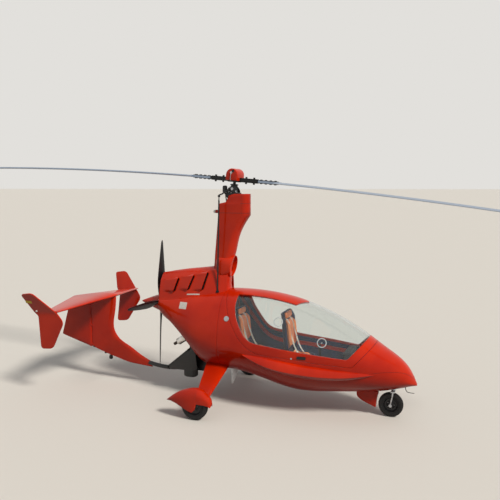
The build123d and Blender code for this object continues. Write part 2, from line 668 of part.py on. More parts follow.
scoop_leans = (scoop_lean, scoop_lean / 2, 0.0)
scoop_outer = Solid.make_loft([scoop_ring(*s, lean) for s, lean in zip(scoop_sections, scoop_leans)])
mouth = scoop_sections[0]
throat = (mouth[0] - scoop_depth, *mouth[1:])
lip = (mouth[0] + scoop_lip, *mouth[1:])
scoop_inner = Solid.make_loft([scoop_ring(*s, scoop_lean, scoop_wall) for s in (lip, throat)], ruled=True)
mast = mast - scoop_inner
scoop = scoop_outer - scoop_inner - mast_solid - outer - ridge_outer
scoop = max(scoop.solids(), key=lambda piece: piece.volume)

# Rotor head on the mast
spin_axis = Vector(sin(radians(disc_tilt)), 0, cos(radians(disc_tilt)))
hub_centre = Vector(0, 0, hub_z)
spin_plane = Plane(origin=hub_centre, x_dir=(cos(radians(disc_tilt)), 0, -sin(radians(disc_tilt))),
                   z_dir=spin_axis)
head_base = prism_y(head_outline, -head_half, head_half)
cheek = block(*cheek_x, *cheek_y, *cheek_z)
gimbal = block(*gimbal_x, -cheek_y[0], cheek_y[0], *gimbal_z)
bearing = spin_plane * Pos(0, 0, -bearing_drop) * Cylinder(bearing_radius, bearing_length)
shaft = spin_plane * Pos(0, 0, -shaft_drop) * Cylinder(rotor_shaft_radius, shaft_length)
lever = bar(lever_root, rod_top, lever_radius)
rod_end = Pos(*rod_top) * Sphere(rod_end_radius)
rotor_head = head_base + cheek + mirror(cheek, Plane.XZ) + gimbal + bearing + shaft
rotor_head = rotor_head + lever + mirror(lever, Plane.XZ)
rotor_head = rotor_head - rod_end - mirror(rod_end, Plane.XZ) - mast
rotor_head = max(rotor_head.solids(), key=lambda piece: piece.volume)
rod_right = bar(rod_foot, rod_top, rod_radius) + rod_end - outer - ridge_outer
rod_right = max(rod_right.solids(), key=lambda piece: piece.volume)
control_rods = Compound(children=list(both(rod_right)))

# Rotor: hub bar, blades and cap, laid out in the tilted disc
parked = spin_plane * Rot(0, 0, rotor_azimuth)
plate_z = (blade_root_thick + clamp_plate) / 2
clamp = Box(2 * hub_bar_half, hub_bar_width, clamp_plate)
hub_bar = parked * (Box(2 * hub_core_half, hub_bar_width, blade_root_thick) + Pos(0, 0, plate_z) * clamp
                    + Pos(0, 0, -plate_z) * clamp + Box(*hub_block))
hub_bore = Cylinder(rotor_shaft_radius + shaft_gap, shaft_length)
hub_bar = hub_bar - spin_plane * Pos(0, 0, -hub_bore_drop) * hub_bore
root_length = blade_root_end - hub_core_half
blade_root = Pos(hub_core_half + root_length / 2, 0, 0) * Box(root_length, hub_bar_width, blade_root_thick)


def blade_ring(r, turn):
    """Wing section of a rotor blade at a radius; the parked blade hangs lower towards its tip."""
    span = Vector(1, 0, 0).rotate(Axis.Z, rotor_azimuth + turn).rotate(Axis.Y, disc_tilt)
    chord = Vector(0, 1, 0).rotate(Axis.Z, rotor_azimuth + turn).rotate(Axis.Y, disc_tilt)
    centre = hub_centre + span * r - Vector(0, 0, (r * r) / (2 * blade_droop_radius))
    front = centre + chord * blade_lead * blade_chord
    rear = centre - chord * (1 - blade_lead) * blade_chord
    mid = (front + rear) * 0.5
    return Wire([
        ThreePointArc(front, mid + spin_axis * blade_crown * blade_thickness, rear),
        ThreePointArc(rear, mid - spin_axis * (1 - blade_crown) * blade_thickness, front),
    ])


def rotor_blade(turn):
    """Blade with its square root between the clamp plates, turned about the rotor's axis."""
    stations = (hub_bar_half + panel_gap, *blade_stations)
    wing = Solid.make_loft([blade_ring(r, turn) for r in stations]) - hub_bar
    return wing + parked * Rot(0, 0, turn) * blade_root


rotor_blade_front, rotor_blade_rear = rotor_blade(0), rotor_blade(180)
cap_side_z = cap_height - cap_half
cap_outline = Polyline((cap_half, cap_side_z), (cap_half, 0), (-cap_half, 0), (-cap_half, cap_side_z))
cap_outline = cap_outline + ThreePointArc((-cap_half, cap_side_z), (0, cap_height), (cap_half, cap_side_z))
cap_plane = Plane(origin=(0, cap_length / 2, cap_base), x_dir=(1, 0, 0), z_dir=(0, -1, 0))
cap_face = make_face(cap_plane * cap_outline)
cap_solid = extrude(cap_face, amount=cap_length, dir=(0, -1, 0))
rotor_cap = parked * cap_solid - hub_bar
rotor_cap = max(rotor_cap.solids(), key=lambda piece: piece.volume)

# Propeller
spinner_base_x = prop_x + prop_hub_length / 2
spinner_outline = [
    Line((spinner_tip_x, 0), (spinner_base_x, 0)),
    Line((spinner_base_x, 0), (spinner_base_x, spinner_radius)),
    ThreePointArc((spinner_base_x, spinner_radius), (spinner_tip_x + spinner_belly[0], spinner_belly[1]),
                  (spinner_tip_x, spinner_tip_flat)),
    Line((spinner_tip_x, spinner_tip_flat), (spinner_tip_x, 0)),
]
spinner = Pos(0, 0, prop_z) * revolve(make_face(spinner_outline), axis=Axis.X)
hub_rear_x = prop_x - prop_hub_length / 2
spinner = spinner - rod_x(0, prop_z, hub_rear_x - 10, prop_x + prop_hub_length, prop_hub_radius)
prop_hub = rod_x(0, prop_z, hub_rear_x, prop_x + prop_hub_length / 2, prop_hub_radius)


def prop_ring(r, chord, thick, pitch):
    """Blade section at a radius, turned to its pitch."""
    c, s = cos(radians(pitch)), sin(radians(pitch))

    def p(u, v):
        return (prop_x + u * s + v * c, u * c - v * s, prop_z + r)

    return Wire([
        ThreePointArc(p(-chord / 2, 0), p(0, thick * 0.7), p(chord / 2, 0)),
        ThreePointArc(p(chord / 2, 0), p(0, -thick * 0.3), p(-chord / 2, 0)),
    ])


prop_blade = Solid.make_loft([prop_ring(*s) for s in prop_stations])
prop_axis = Axis((0, 0, prop_z), (1, 0, 0))
propeller = prop_hub
for k in range(prop_blades):
    placed_blade = prop_blade.rotate(prop_axis, prop_park_angle + 360.0 * k / prop_blades)
    propeller = propeller + placed_blade
    spinner = spinner - placed_blade
engine_rear_x = engine_centre[0] - engine_size[0] / 2
gearbox_rear_x = engine_rear_x - gearbox_length
gearbox = rod_x(0, prop_z, gearbox_rear_x, engine_rear_x, gearbox_radius)
prop_stub = rod_x(0, prop_z, spinner_base_x + face_gap, gearbox_rear_x, prop_shaft_radius)
engine = Pos(*engine_centre) * Box(*engine_size) + gearbox + prop_stub
tubes = [bar((firewall_rear_x, side * mount_wall_y, z_wall),
             (mount_engine_x, side * mount_engine_y, z_engine), mount_tube_radius)
         for side in (-1, 1) for z_wall, z_engine in mount_tubes]
engine_mount = Compound(children=[tube - engine - firewall for tube in tubes])

# Exhaust and cooling parts below the cowl
pipe_y = muffler_front[1]
muffler = bar(muffler_front, pipe_start, muffler_radius)
header = bar((header_x, pipe_y, header_top_z), (header_x, pipe_y, header_foot_z), header_radius)
muffler = muffler + header - engine
tail_pipe = bar(pipe_start, pipe_end, tail_pipe_radius) - bar(pipe_start, pipe_end, tail_pipe_bore)
cooler = Pos(*cooler_centre) * Rot(0, cooler_lean, 0) * Box(*cooler_size)
oil_tank = block(*oil_tank_limits)


# Subframe below the cabin's rear, which carries the gear, the engine and the keel boom
def web(limits):
    """Plate of the subframe's width, from its limits in X and Z."""
    x0, x1, z0, z1 = limits
    return block(x0, x1, -subframe_half, subframe_half, z0, z1)


subframe = web(subframe_beam) + web(subframe_post) - outer - cooler
subframe = max(subframe.solids(), key=lambda piece: piece.volume)

# Keel boom: a black tube from the subframe back to the fin
boom_path = FilletPolyline(*boom_points, radius=boom_bend)
keel_boom = sweep(Plane(origin=boom_path @ 0, z_dir=boom_path % 0) * Circle(boom_radius), path=boom_path)
keel_boom = keel_boom - subframe - cooler
keel_boom = max(keel_boom.solids(), key=lambda piece: piece.volume)

# Fin and rudder
fin_face = side_face(fin_lead, fin_rest)
fin_skin = offset(fin_face, amount=-fin_wall, kind=Kind.INTERSECTION)
fin = extrude(Pos(0, -fin_thickness / 2, 0) * fin_face, amount=fin_thickness, dir=(0, 1, 0))
fin = fin - extrude(Pos(0, fin_wall - fin_thickness / 2, 0) * fin_skin,
                    amount=fin_thickness - 2 * fin_wall, dir=(0, 1, 0)) - keel_boom
rudder = prism_y(rudder_outline, -rudder_half, rudder_half)
rudder_post = Pos(rudder_hinge_x, 0, (rudder_bottom_z + rudder_top_z) / 2) * Cylinder(
    rudder_post_radius, rudder_top_z - rudder_bottom_z)
rudder = rudder + rudder_post
for z_end, up in ((rudder_top_z, 1), (rudder_bottom_z, -1)):
    z_near, z_far = z_end + up * hinge_lug_gap, z_end + up * (hinge_lug_gap + hinge_lug_thick)
    lug = block(rudder_hinge_x - hinge_lug_rear, rudder_hinge_x + hinge_lug_front, -hinge_lug_half,
                hinge_lug_half, min(z_near, z_far), max(z_near, z_far))
    z_pin = z_end - up * rudder_pin_reach
    pin = Pos(rudder_hinge_x, 0, (z_pin + z_far) / 2) * Cylinder(rudder_pin_radius, abs(z_far - z_pin))
    bore_cut = Pos(rudder_hinge_x, 0, z_end) * Cylinder(
        rudder_pin_radius + shaft_gap, 2 * rudder_pin_reach + 2 * shaft_gap)
    rudder = rudder - bore_cut
    fin = fin + lug + pin


# Stabiliser with its end plates
def inset_columns(section, inset):
    """The columns of a wing section with the core's insets added."""
    return tuple(value + change for value, change in zip(section, inset))


def stab_half(root, tip, y_root, y_tip):
    """Port half of the stabiliser or of its core, from two wing sections."""
    rings = [lens(x_front, x_rear, y, z_front, z_rear, thickness, stab_crown)
             for y, (x_front, x_rear, z_front, z_rear, thickness) in ((y_root, root), (y_tip, tip))]
    return Solid.make_loft(rings, ruled=True)


stab_left = stab_half(stab_root, stab_tip, 0.0, plate_y + plate_joint)
stab_core = stab_half(inset_columns(stab_root, core_inset_root), inset_columns(stab_tip, core_inset_tip),
                      core_web, plate_y - core_end)
stabiliser = stab_left + mirror(stab_left, Plane.XZ)
fin = fin - stabiliser
stabiliser = stabiliser - stab_core - mirror(stab_core, Plane.XZ)


def plate_panel(outline, lean):
    """Flat panel leaning outwards about the kink line."""
    pivot = (0.0, plate_y, plate_kink_z)
    stretch = 1 / cos(radians(lean))
    flat = [(x, pivot[2] + (z - pivot[2]) * stretch) for x, z in outline]
    panel = prism_y(flat, plate_y, plate_y + plate_thickness)
    return panel.rotate(Axis(pivot, (1, 0, 0)), -lean)


plate_left = plate_panel(plate_low, plate_low_lean) + plate_panel(plate_high, plate_high_lean)
end_plate_left, end_plate_right = both(plate_left)
stabiliser = stabiliser - end_plate_left - end_plate_right
stabiliser = max(stabiliser.solids(), key=lambda piece: piece.volume)

# Main gear
leg = Solid.make_loft([lens(*leg_root_section), lens(*leg_foot_section)], ruled=True) - outer
leg_left, leg_right = both(leg)


def tyre(radius, width, x, y, z):
    """Plain road tyre by a revolve: a flat crown, rounded shoulders and sides that draw in to the rim."""
    rim_r = radius - rim_depth
    half = width / 2
    half_profile = [(rim_r, rim_width_share * half), (radius - 22, half), (radius - 6, 0.7 * half),
                    (radius, 0.3 * half)]
    profile = [(r, -w) for r, w in half_profile] + half_profile[::-1]
    return Pos(x, y, z) * revolve(make_face(Polyline(profile, close=True)), axis=Axis.Y), rim_r


def rim(rim_r, width, bore, x, y, z):
    """Dished disc that fills the tyre down to the axle bore."""
    rim_width = rim_width_share * width
    dish = Cylinder(rim_r - rim_lip, rim_dish)
    hub = Cylinder(bore + rim_hub_wall, rim_width)
    body = Cylinder(rim_r, rim_width) - Pos(0, 0, rim_width / 2) * dish - Pos(0, 0, -rim_width / 2) * dish
    body = body + hub - Cylinder(bore, width)
    return Pos(x, y, z) * Rot(90, 0, 0) * body


bore = axle_radius + shaft_gap
main_tyre, main_rim_r = tyre(main_tyre_radius, main_tyre_width, main_x, main_y, main_tyre_radius)
main_rim = rim(main_rim_r, main_tyre_width, bore, main_x, main_y, main_tyre_radius)
main_tyre_left, main_tyre_right = both(main_tyre)
main_rim_left, main_rim_right = both(main_rim)

# Spats, and the axles with the knuckles that join them to the legs
spat_ring = [(x, main_y + y) for x, y in spat_plan] + [(x, main_y - y) for x, y in reversed(spat_plan)]
spat_inner_y, spat_outer_y = main_y - spat_half, main_y + spat_half
spat_solid = prism_y(spat_outline, spat_inner_y, spat_outer_y) & prism_z(spat_ring, 0, spat_top)
spat_cavity = rod_y(main_x, main_tyre_radius, spat_inner_y + spat_wall, spat_outer_y - spat_wall,
                    main_tyre_radius + spat_tyre_gap)
knuckle = block(main_x + knuckle_run[0], main_x + knuckle_run[1], spat_inner_y - knuckle_depth, spat_inner_y,
                *knuckle_z) - leg
axle = rod_y(main_x, main_tyre_radius, spat_inner_y, spat_outer_y - spat_wall, axle_radius) + knuckle
axle_hole = rod_y(main_x, main_tyre_radius, spat_inner_y - 1, spat_inner_y + spat_wall + 1, axle_radius)
spat = spat_solid - spat_cavity - leg - axle_hole
spat_left, spat_right = both(spat)
axle_left, axle_right = both(axle)

# Nose gear: fork, mudguard and wheel
arm_y = nose_tyre_width / 2 + fork_gap + fork_arm_stand
fork_end_y = arm_y + fork_gap
crown_z = 2 * nose_tyre_radius + crown_gap
arm = bar((steer_x, arm_y, crown_z), (nose_wheel_x, arm_y, nose_tyre_radius), fork_arm_radius)
crown_side_y = arm_y + crown_side
nose_fork = arm + mirror(arm, Plane.XZ)
crown = block(steer_x - crown_half, steer_x + crown_half, -crown_side_y, crown_side_y, crown_z,
              crown_z + crown_thickness)
nose_fork = nose_fork + crown
nose_fork = nose_fork + Pos(steer_x, 0, crown_z + steer_stem_length / 2) * Cylinder(
    steer_stem_radius, steer_stem_length)
nose_fork = nose_fork + rod_y(nose_wheel_x, nose_tyre_radius, -fork_end_y, fork_end_y, axle_radius)
nose_fork = nose_fork - rod_y(nose_wheel_x, nose_tyre_radius, -reach_half, reach_half, tow_bore_radius)
nose_tyre, nose_rim_r = tyre(nose_tyre_radius, nose_tyre_width, nose_wheel_x, 0, nose_tyre_radius)
nose_rim = rim(nose_rim_r, nose_tyre_width, bore, nose_wheel_x, 0, nose_tyre_radius)
bearing_z = well_roof_z + well_wall + steer_bearing_length / 2
steer_bore = Pos(steer_x, 0, bearing_z) * Cylinder(steer_stem_radius + shaft_gap, 4 * steer_bearing_length)
tub = tub - steer_bore
nose_bearing = Pos(steer_x, 0, bearing_z) * Cylinder(steer_bearing_radius, steer_bearing_length) - steer_bore
mudguard = prism_y(mudguard_outline, -mudguard_half, mudguard_half) - outer - well

# Tail wheel below the fin, between two straps
tail_tyre = rod_y(tail_wheel_x, tail_wheel_z, -tail_wheel_width / 2, tail_wheel_width / 2, tail_wheel_radius)
tail_tyre = tail_tyre - rod_y(tail_wheel_x, tail_wheel_z, -tail_wheel_width, tail_wheel_width,
                              tail_axle_radius + shaft_gap)
strap = block(tail_wheel_x - tail_bracket_half, tail_wheel_x + tail_bracket_half, *tail_bracket_y,
              tail_wheel_z - tail_bracket_half, tail_bracket_top_z)
strap_right_y = tail_bracket_y[1]
tail_bracket = strap + mirror(strap, Plane.XZ)
tail_axle = rod_y(tail_wheel_x, tail_wheel_z, -strap_right_y, strap_right_y, tail_axle_radius)
tail_bracket = tail_bracket + tail_axle
tail_bracket = tail_bracket - fin

# Small fittings
beacon = rod_x(0, beacon_z, *beacon_x, beacon_radius) - mast
fuel_cap = rod_y(*fuel_cap_at, *fuel_cap_y, fuel_cap_radius) - outer
pitot = bar(*pitot_points[:2], pitot_radius) + bar(*pitot_points[1:], pitot_radius) - outer
step = prism_y(step_outline, *step_y) - outer

parts = {
    # cabin and its canopy
    "hull_tub": tub, "strake_left": strake_left, "strake_right": strake_right, "canopy_frame": canopy_frame,
    "canopy_glass": canopy_glass, "canopy_hinges": hinges, "canopy_knuckles": knuckles, "firewall": firewall,
    "cabin_floor": floor, "front_seat": front_seat, "front_cushions": front_cushions, "rear_seat": rear_seat,
    "rear_cushions": rear_cushions, "instrument_panel": panel, "control_stick": stick, "fuel_cap": fuel_cap,
    "pitot_tube": pitot, "belly_step": step,
    # engine bay
    "engine_cowl": cowl, "engine_block": engine, "engine_mount": engine_mount, "muffler": muffler,
    "tail_pipe": tail_pipe, "cooler": cooler, "oil_tank": oil_tank, "subframe": subframe,
    "propeller": propeller, "spinner": spinner,
    # mast and rotor
    "mast": mast, "intake_scoop": scoop, "beacon": beacon, "control_rods": control_rods,
    "rotor_head": rotor_head, "rotor_hub": hub_bar, "rotor_blade_front": rotor_blade_front,
    "rotor_blade_rear": rotor_blade_rear, "rotor_cap": rotor_cap,
    # tail
    "keel_boom": keel_boom, "fin": fin, "rudder": rudder, "stabiliser": stabiliser,
    "end_plate_left": end_plate_left, "end_plate_right": end_plate_right, "tail_bracket": tail_bracket,
    "tail_wheel": tail_tyre,
    # landing gear
    "gear_leg_left": leg_left, "gear_leg_right": leg_right, "spat_left": spat_left, "spat_right": spat_right,
    "main_axle_left": axle_left, "main_axle_right": axle_right, "main_tyre_left": main_tyre_left,
    "main_tyre_right": main_tyre_right, "main_rim_left": main_rim_left, "main_rim_right": main_rim_right,
    "nose_fork": nose_fork, "nose_bearing": nose_bearing, "nose_mudguard": mudguard, "nose_tyre": nose_tyre,
    "nose_rim": nose_rim,
}
for name, shape in parts.items():
    write(name, shape)
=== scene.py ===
# Two-seat enclosed gyrocopter: finishes, then every visible piece from the hull to the small fittings, then the stage.
# Metres, nose along +X, port along +Y, origin on the ground below the rotor hub.
import math
import bmesh
import bpy
import numpy as np
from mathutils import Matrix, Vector, geometry


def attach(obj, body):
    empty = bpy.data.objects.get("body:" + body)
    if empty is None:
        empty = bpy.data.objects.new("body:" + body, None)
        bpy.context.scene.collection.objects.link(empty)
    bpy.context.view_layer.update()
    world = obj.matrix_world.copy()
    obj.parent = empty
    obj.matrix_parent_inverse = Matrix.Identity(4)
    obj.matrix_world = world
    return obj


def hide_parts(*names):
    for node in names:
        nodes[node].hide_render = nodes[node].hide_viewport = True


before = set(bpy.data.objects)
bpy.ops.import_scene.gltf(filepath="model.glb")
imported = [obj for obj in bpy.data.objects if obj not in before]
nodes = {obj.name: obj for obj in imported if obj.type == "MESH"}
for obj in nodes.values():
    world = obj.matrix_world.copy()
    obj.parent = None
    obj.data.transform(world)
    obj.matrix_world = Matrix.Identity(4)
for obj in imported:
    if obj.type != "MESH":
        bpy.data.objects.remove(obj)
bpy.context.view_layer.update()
print("frame loaded:", len(nodes), "nodes")
pi = math.pi


# Colour and node helpers
def linearColour(hexText):
    # sRGB hex to linear: c/12.92 below 0.04045, else ((c + 0.055)/1.055)^2.4
    parts = [int(hexText[i:i + 2], 16) / 255 for i in (1, 3, 5)]
    return tuple([c / 12.92 if c <= 0.04045 else ((c + 0.055) / 1.055) ** 2.4 for c in parts] + [1.0])


def addNode(tree, kind, settings=None, links=None):
    # one node with its settings, by attribute name or input socket; links map inputs to outputs
    node = tree.nodes.new(kind)
    for key, value in (settings or {}).items():
        if isinstance(key, str) and hasattr(node, key):
            setattr(node, key, value)
        else:
            node.inputs[key].default_value = value
    for key, source in (links or {}).items():
        tree.links.new(source, node.inputs[key])
    return node


def setRamp(node, stops):
    # colour ramp from (position, hex) pairs
    ramp = node.color_ramp
    while len(ramp.elements) < len(stops):
        ramp.elements.new(0.5)
    for element, (position, colour) in zip(ramp.elements, stops):
        element.position = position
        element.color = linearColour(colour)
    return node


materials = {}


def newMaterial(name):
    # an empty node tree, and its Object coordinates as the setting of a texture
    materials[name] = bpy.data.materials.new(name)
    materials[name].use_nodes = True
    tree = materials[name].node_tree
    tree.nodes.clear()
    return tree, {"Vector": addNode(tree, "ShaderNodeTexCoord").outputs["Object"]}


def finishMaterial(tree, settings, links):
    shader = addNode(tree, "ShaderNodeBsdfPrincipled", settings, links)
    addNode(tree, "ShaderNodeOutputMaterial", {}, {"Surface": shader.outputs["BSDF"]})


# Plain finishes: a cloudy colour change, a roughness change and a fine bump, all on Object coordinates
finishes = {
    # light and dark colour, low and high roughness, metallic, IOR, cloud mm, grain mm, bump strength
    "satinBlackPowderCoatSteel": ("#1B1B1D", "#101012", 0.38, 0.52, 0.0, 1.5, 60, 1.2, 0.10),
    "blackAnodisedAluminium": ("#202124", "#17181A", 0.30, 0.42, 0.4, 1.5, 40, 0.8, 0.06),
    "machinedAluminium": ("#C9CBCE", "#AEB1B5", 0.24, 0.38, 1.0, 1.5, 30, 0.7, 0.06),
    "stainlessExhaustSteel": ("#E9E7E3", "#CFC9C0", 0.22, 0.36, 1.0, 1.5, 70, 1.4, 0.08),
    "heatTintedSteel": ("#4A3B33", "#1D1917", 0.45, 0.60, 0.7, 1.5, 30, 1.5, 0.12),
    "castAluminiumCrankcase": ("#8E9093", "#6E7073", 0.45, 0.60, 0.8, 1.5, 50, 2.2, 0.25),
    "nylonBlackMoulding": ("#141416", "#0D0D0F", 0.42, 0.55, 0.0, 1.53, 40, 0.9, 0.08),
    "carbonPrepregSatin": ("#18181B", "#0F0F11", 0.28, 0.40, 0.0, 1.55, 16, 2.0, 0.06),
    "rubberHose": ("#151515", "#0E0E0E", 0.60, 0.75, 0.0, 1.52, 40, 1.5, 0.14),
    "cabinLiningFabricBlue": ("#24365F", "#1B294C", 0.78, 0.92, 0.0, 1.45, 120, 2.4, 0.30),
    "greyCompositeFloor": ("#3A3D43", "#2F3237", 0.55, 0.70, 0.0, 1.5, 90, 2.0, 0.15),
    "galvanisedFirewallSheet": ("#9A9DA1", "#84878B", 0.35, 0.50, 0.9, 1.5, 60, 2.0, 0.08),
    "acrylicLampWhite": ("#F2F2EE", "#E6E6E0", 0.15, 0.22, 0.0, 1.49, 30, 1.0, 0.02),
    "blankLabelWhite": ("#D9D4CE", "#CBC6C0", 0.40, 0.50, 0.0, 1.5, 20, 1.0, 0.03),
    "blankPlateYellow": ("#E5C21A", "#D8B412", 0.35, 0.45, 0.0, 1.5, 20, 1.0, 0.03),
    "instrumentFaceBlack": ("#0C0D10", "#08090B", 0.20, 0.30, 0.0, 1.5, 20, 1.0, 0.02),
    "navyMouldedSeatShell": ("#1C2A50", "#152040", 0.34, 0.48, 0.0, 1.5, 80, 1.6, 0.08),
    "wovenPolyesterWebbing": ("#EAE4D9", "#D9D0C2", 0.80, 0.92, 0.0, 1.5, 30, 1.8, 0.45),
    "blackGrainedPanelCoat": ("#17181B", "#101113", 0.60, 0.74, 0.0, 1.5, 50, 1.4, 0.22),
    "frostedAcrylicRing": ("#D5DCE0", "#C2CACE", 0.30, 0.42, 0.0, 1.49, 20, 1.0, 0.03),
    # red paint darkened as painted shade, for the nose's recess and crease
    "paintedShadeDarkRed": ("#6A1206", "#560E05", 0.30, 0.40, 0.0, 1.5, 60, 1.5, 0.04),
}


def plainFinish(name):
    light, dark, low, high, metallic, ior, cloudMm, grainMm, bump = finishes[name]
    tree, here = newMaterial(name)
    cloud = addNode(tree, "ShaderNodeTexNoise", {"Scale": 1000 / cloudMm, "Detail": 4.0},
                    here)
    colour = setRamp(addNode(tree, "ShaderNodeValToRGB", {}, {"Fac": cloud.outputs["Fac"]}),
                     [(0.35, dark), (0.68, light)])
    rough = addNode(tree, "ShaderNodeMapRange", {"To Min": low, "To Max": high}, {"Value": cloud.outputs["Fac"]})
    grain = addNode(tree, "ShaderNodeTexNoise", {"Scale": 1000 / grainMm, "Detail": 2.0},
                    here)
    relief = addNode(tree, "ShaderNodeBump", {"Strength": bump, "Distance": grainMm / 4000},
                     {"Height": grain.outputs["Fac"]})
    finishMaterial(tree, {"Metallic": metallic, "IOR": ior},
                   {"Base Color": colour.outputs["Color"], "Roughness": rough.outputs["Result"],
                    "Normal": relief.outputs["Normal"]})


for name in finishes:
    plainFinish(name)


# Two-pack polyurethane enamel on glass fibre: deep orange red under a clear coat, with faint orange peel and
# a darker brown mixed in towards the bottom, in patches
paintLook = {
    "base": "#CE2A02", "deep": "#B61C00", "cloudMm": 500.0, "rough": (0.24, 0.36), "specular": 0.12,
    "coat": 0.34, "coatRough": 0.05, "peelMm": 9.0, "peelHigh": 0.0006, "peelBump": 0.05,
    # height where the darker brown starts and where it is full, its share there, and its patches
    "patchTone": "#8A2A10", "darkerFrom": 0.75, "darkerFull": 0.05, "darkerShare": 0.34, "patchScale": 26.0,
}


def paintMaterial(look):
    tree, here = newMaterial("redPolyurethaneEnamel")
    cloud = addNode(tree, "ShaderNodeTexNoise", {"Scale": 1000 / look["cloudMm"], "Detail": 3.0},
                    here)
    tone = setRamp(addNode(tree, "ShaderNodeValToRGB", {}, {"Fac": cloud.outputs["Fac"]}),
                   [(0.35, look["deep"]), (0.65, look["base"])])
    split = addNode(tree, "ShaderNodeSeparateXYZ", {}, here)
    # darker brown mixed in towards the bottom, in patches
    low = addNode(tree, "ShaderNodeMapRange",
                  {"From Min": look["darkerFrom"], "From Max": look["darkerFull"], "To Max": look["darkerShare"]},
                  {"Value": split.outputs["Z"]})
    speck = addNode(tree, "ShaderNodeTexNoise", {"Scale": look["patchScale"], "Detail": 6.0, "Roughness": 0.7},
                    here)
    patchTone = addNode(tree, "ShaderNodeMath", {"operation": "MULTIPLY"},
                   {0: low.outputs["Result"], 1: speck.outputs["Fac"]})
    mixed = addNode(tree, "ShaderNodeMix", {"data_type": "RGBA", 7: linearColour(look["patchTone"])},
                    {0: patchTone.outputs["Value"], 6: tone.outputs["Color"]})
    rough = addNode(tree, "ShaderNodeMapRange", {"To Min": look["rough"][0], "To Max": look["rough"][1]},
                    {"Value": speck.outputs["Fac"]})
    peel = addNode(tree, "ShaderNodeTexNoise", {"Scale": 1000 / look["peelMm"], "Detail": 1.0},
                   here)
    relief = addNode(tree, "ShaderNodeBump", {"Strength": look["peelBump"], "Distance": look["peelHigh"]},
                     {"Height": peel.outputs["Fac"]})
    finishMaterial(tree, {"IOR": 1.5, "Specular IOR Level": look["specular"], "Coat Weight": look["coat"],
                          "Coat Roughness": look["coatRough"], "Coat IOR": 1.5},
                   {"Base Color": mixed.outputs[2], "Roughness": rough.outputs["Result"],
                    "Normal": relief.outputs["Normal"]})


paintMaterial(paintLook)

# Leather: warm orange with a pebble grain of about 1.6 mm, duller in random patches
leatherLook = {"light": "#FF9A5E", "dark": "#F47C3A", "grainMm": 3.2, "wearMm": 140.0}


def leatherMaterial(look):
    tree, here = newMaterial("orangeStitchedLeather")
    wear = addNode(tree, "ShaderNodeTexNoise", {"Scale": 1000 / look["wearMm"], "Detail": 5.0},
                   here)
    tone = setRamp(addNode(tree, "ShaderNodeValToRGB", {}, {"Fac": wear.outputs["Fac"]}),
                   [(0.32, look["dark"]), (0.66, look["light"])])
    pebble = addNode(tree, "ShaderNodeTexVoronoi", {"Scale": 1000 / look["grainMm"], "feature": "SMOOTH_F1"},
                     here)
    relief = addNode(tree, "ShaderNodeBump", {"Strength": 0.35, "Distance": 0.0006},
                     {"Height": pebble.outputs["Distance"]})
    rough = addNode(tree, "ShaderNodeMapRange", {"To Min": 0.42, "To Max": 0.62}, {"Value": wear.outputs["Fac"]})
    finishMaterial(tree, {"IOR": 1.45, "Sheen Weight": 0.15},
                   {"Base Color": tone.outputs["Color"], "Roughness": rough.outputs["Result"],
                    "Normal": relief.outputs["Normal"]})


leatherMaterial(leatherLook)
print("materials made")


# Mesh helpers
def unit(v):
    # vectors of length 1 along the last axis
    v = np.asarray(v, float)
    return v / np.linalg.norm(v, axis=-1, keepdims=True)


def signedPower(v, power):
    return np.sign(v) * np.abs(v) ** power


def smoothStep(t):
    # t^2 (3 - 2 t) between 0 and 1
    t = np.clip(t, 0, 1)
    return t * t * (3 - 2 * t)


def meshObject(name, points, faces, material, body, replaces):
    # points: n x 3 array; faces: list of index arrays of one corner count each
    mesh = bpy.data.meshes.new(name)
    counts = np.concatenate([np.full(len(f), f.shape[1], int) for f in faces])
    loops = np.concatenate([f.ravel() for f in faces])
    starts = np.concatenate([[0], np.cumsum(counts)[:-1]])
    mesh.vertices.add(len(points))
    mesh.vertices.foreach_set("co", np.asarray(points, float).ravel())
    mesh.loops.add(len(loops))
    mesh.loops.foreach_set("vertex_index", loops.astype(np.int32))
    mesh.polygons.add(len(counts))
    mesh.polygons.foreach_set("loop_start", starts.astype(np.int32))
    mesh.polygons.foreach_set("use_smooth", np.ones(len(counts), bool))
    mesh.update(calc_edges=True)
    mesh.validate()
    mesh.materials.append(materials[material])
    item = bpy.data.objects.new(name, mesh)
    bpy.context.scene.collection.objects.link(item)
    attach(item, body)
    if replaces:
        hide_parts(*replaces)
    return item


def applyModifiers(item):
    # the modifier stack is baked into the mesh, so the piece is final where it is made
    bpy.context.view_layer.update()
    baked = bpy.data.meshes.new_from_object(item.evaluated_get(bpy.context.evaluated_depsgraph_get()))
    item.modifiers.clear()
    item.data = baked


def addModifier(item, kind, settings):
    modifier = item.modifiers.new(kind.title(), kind)
    for key, value in settings.items():
        setattr(modifier, key, value)


def gridFaces(rows, columns, closeRows=False, closeColumns=False):
    # quads of a rows x columns grid of points, as one index array
    i = np.arange(rows if closeRows else rows - 1)[:, None]
    j = np.arange(columns if closeColumns else columns - 1)[None, :]
    a, b = (i % rows) * columns, ((i + 1) % rows) * columns
    c, d = j % columns, (j + 1) % columns
    return np.stack([a + c, b + c, b + d, a + d], axis=-1).reshape(-1, 4)


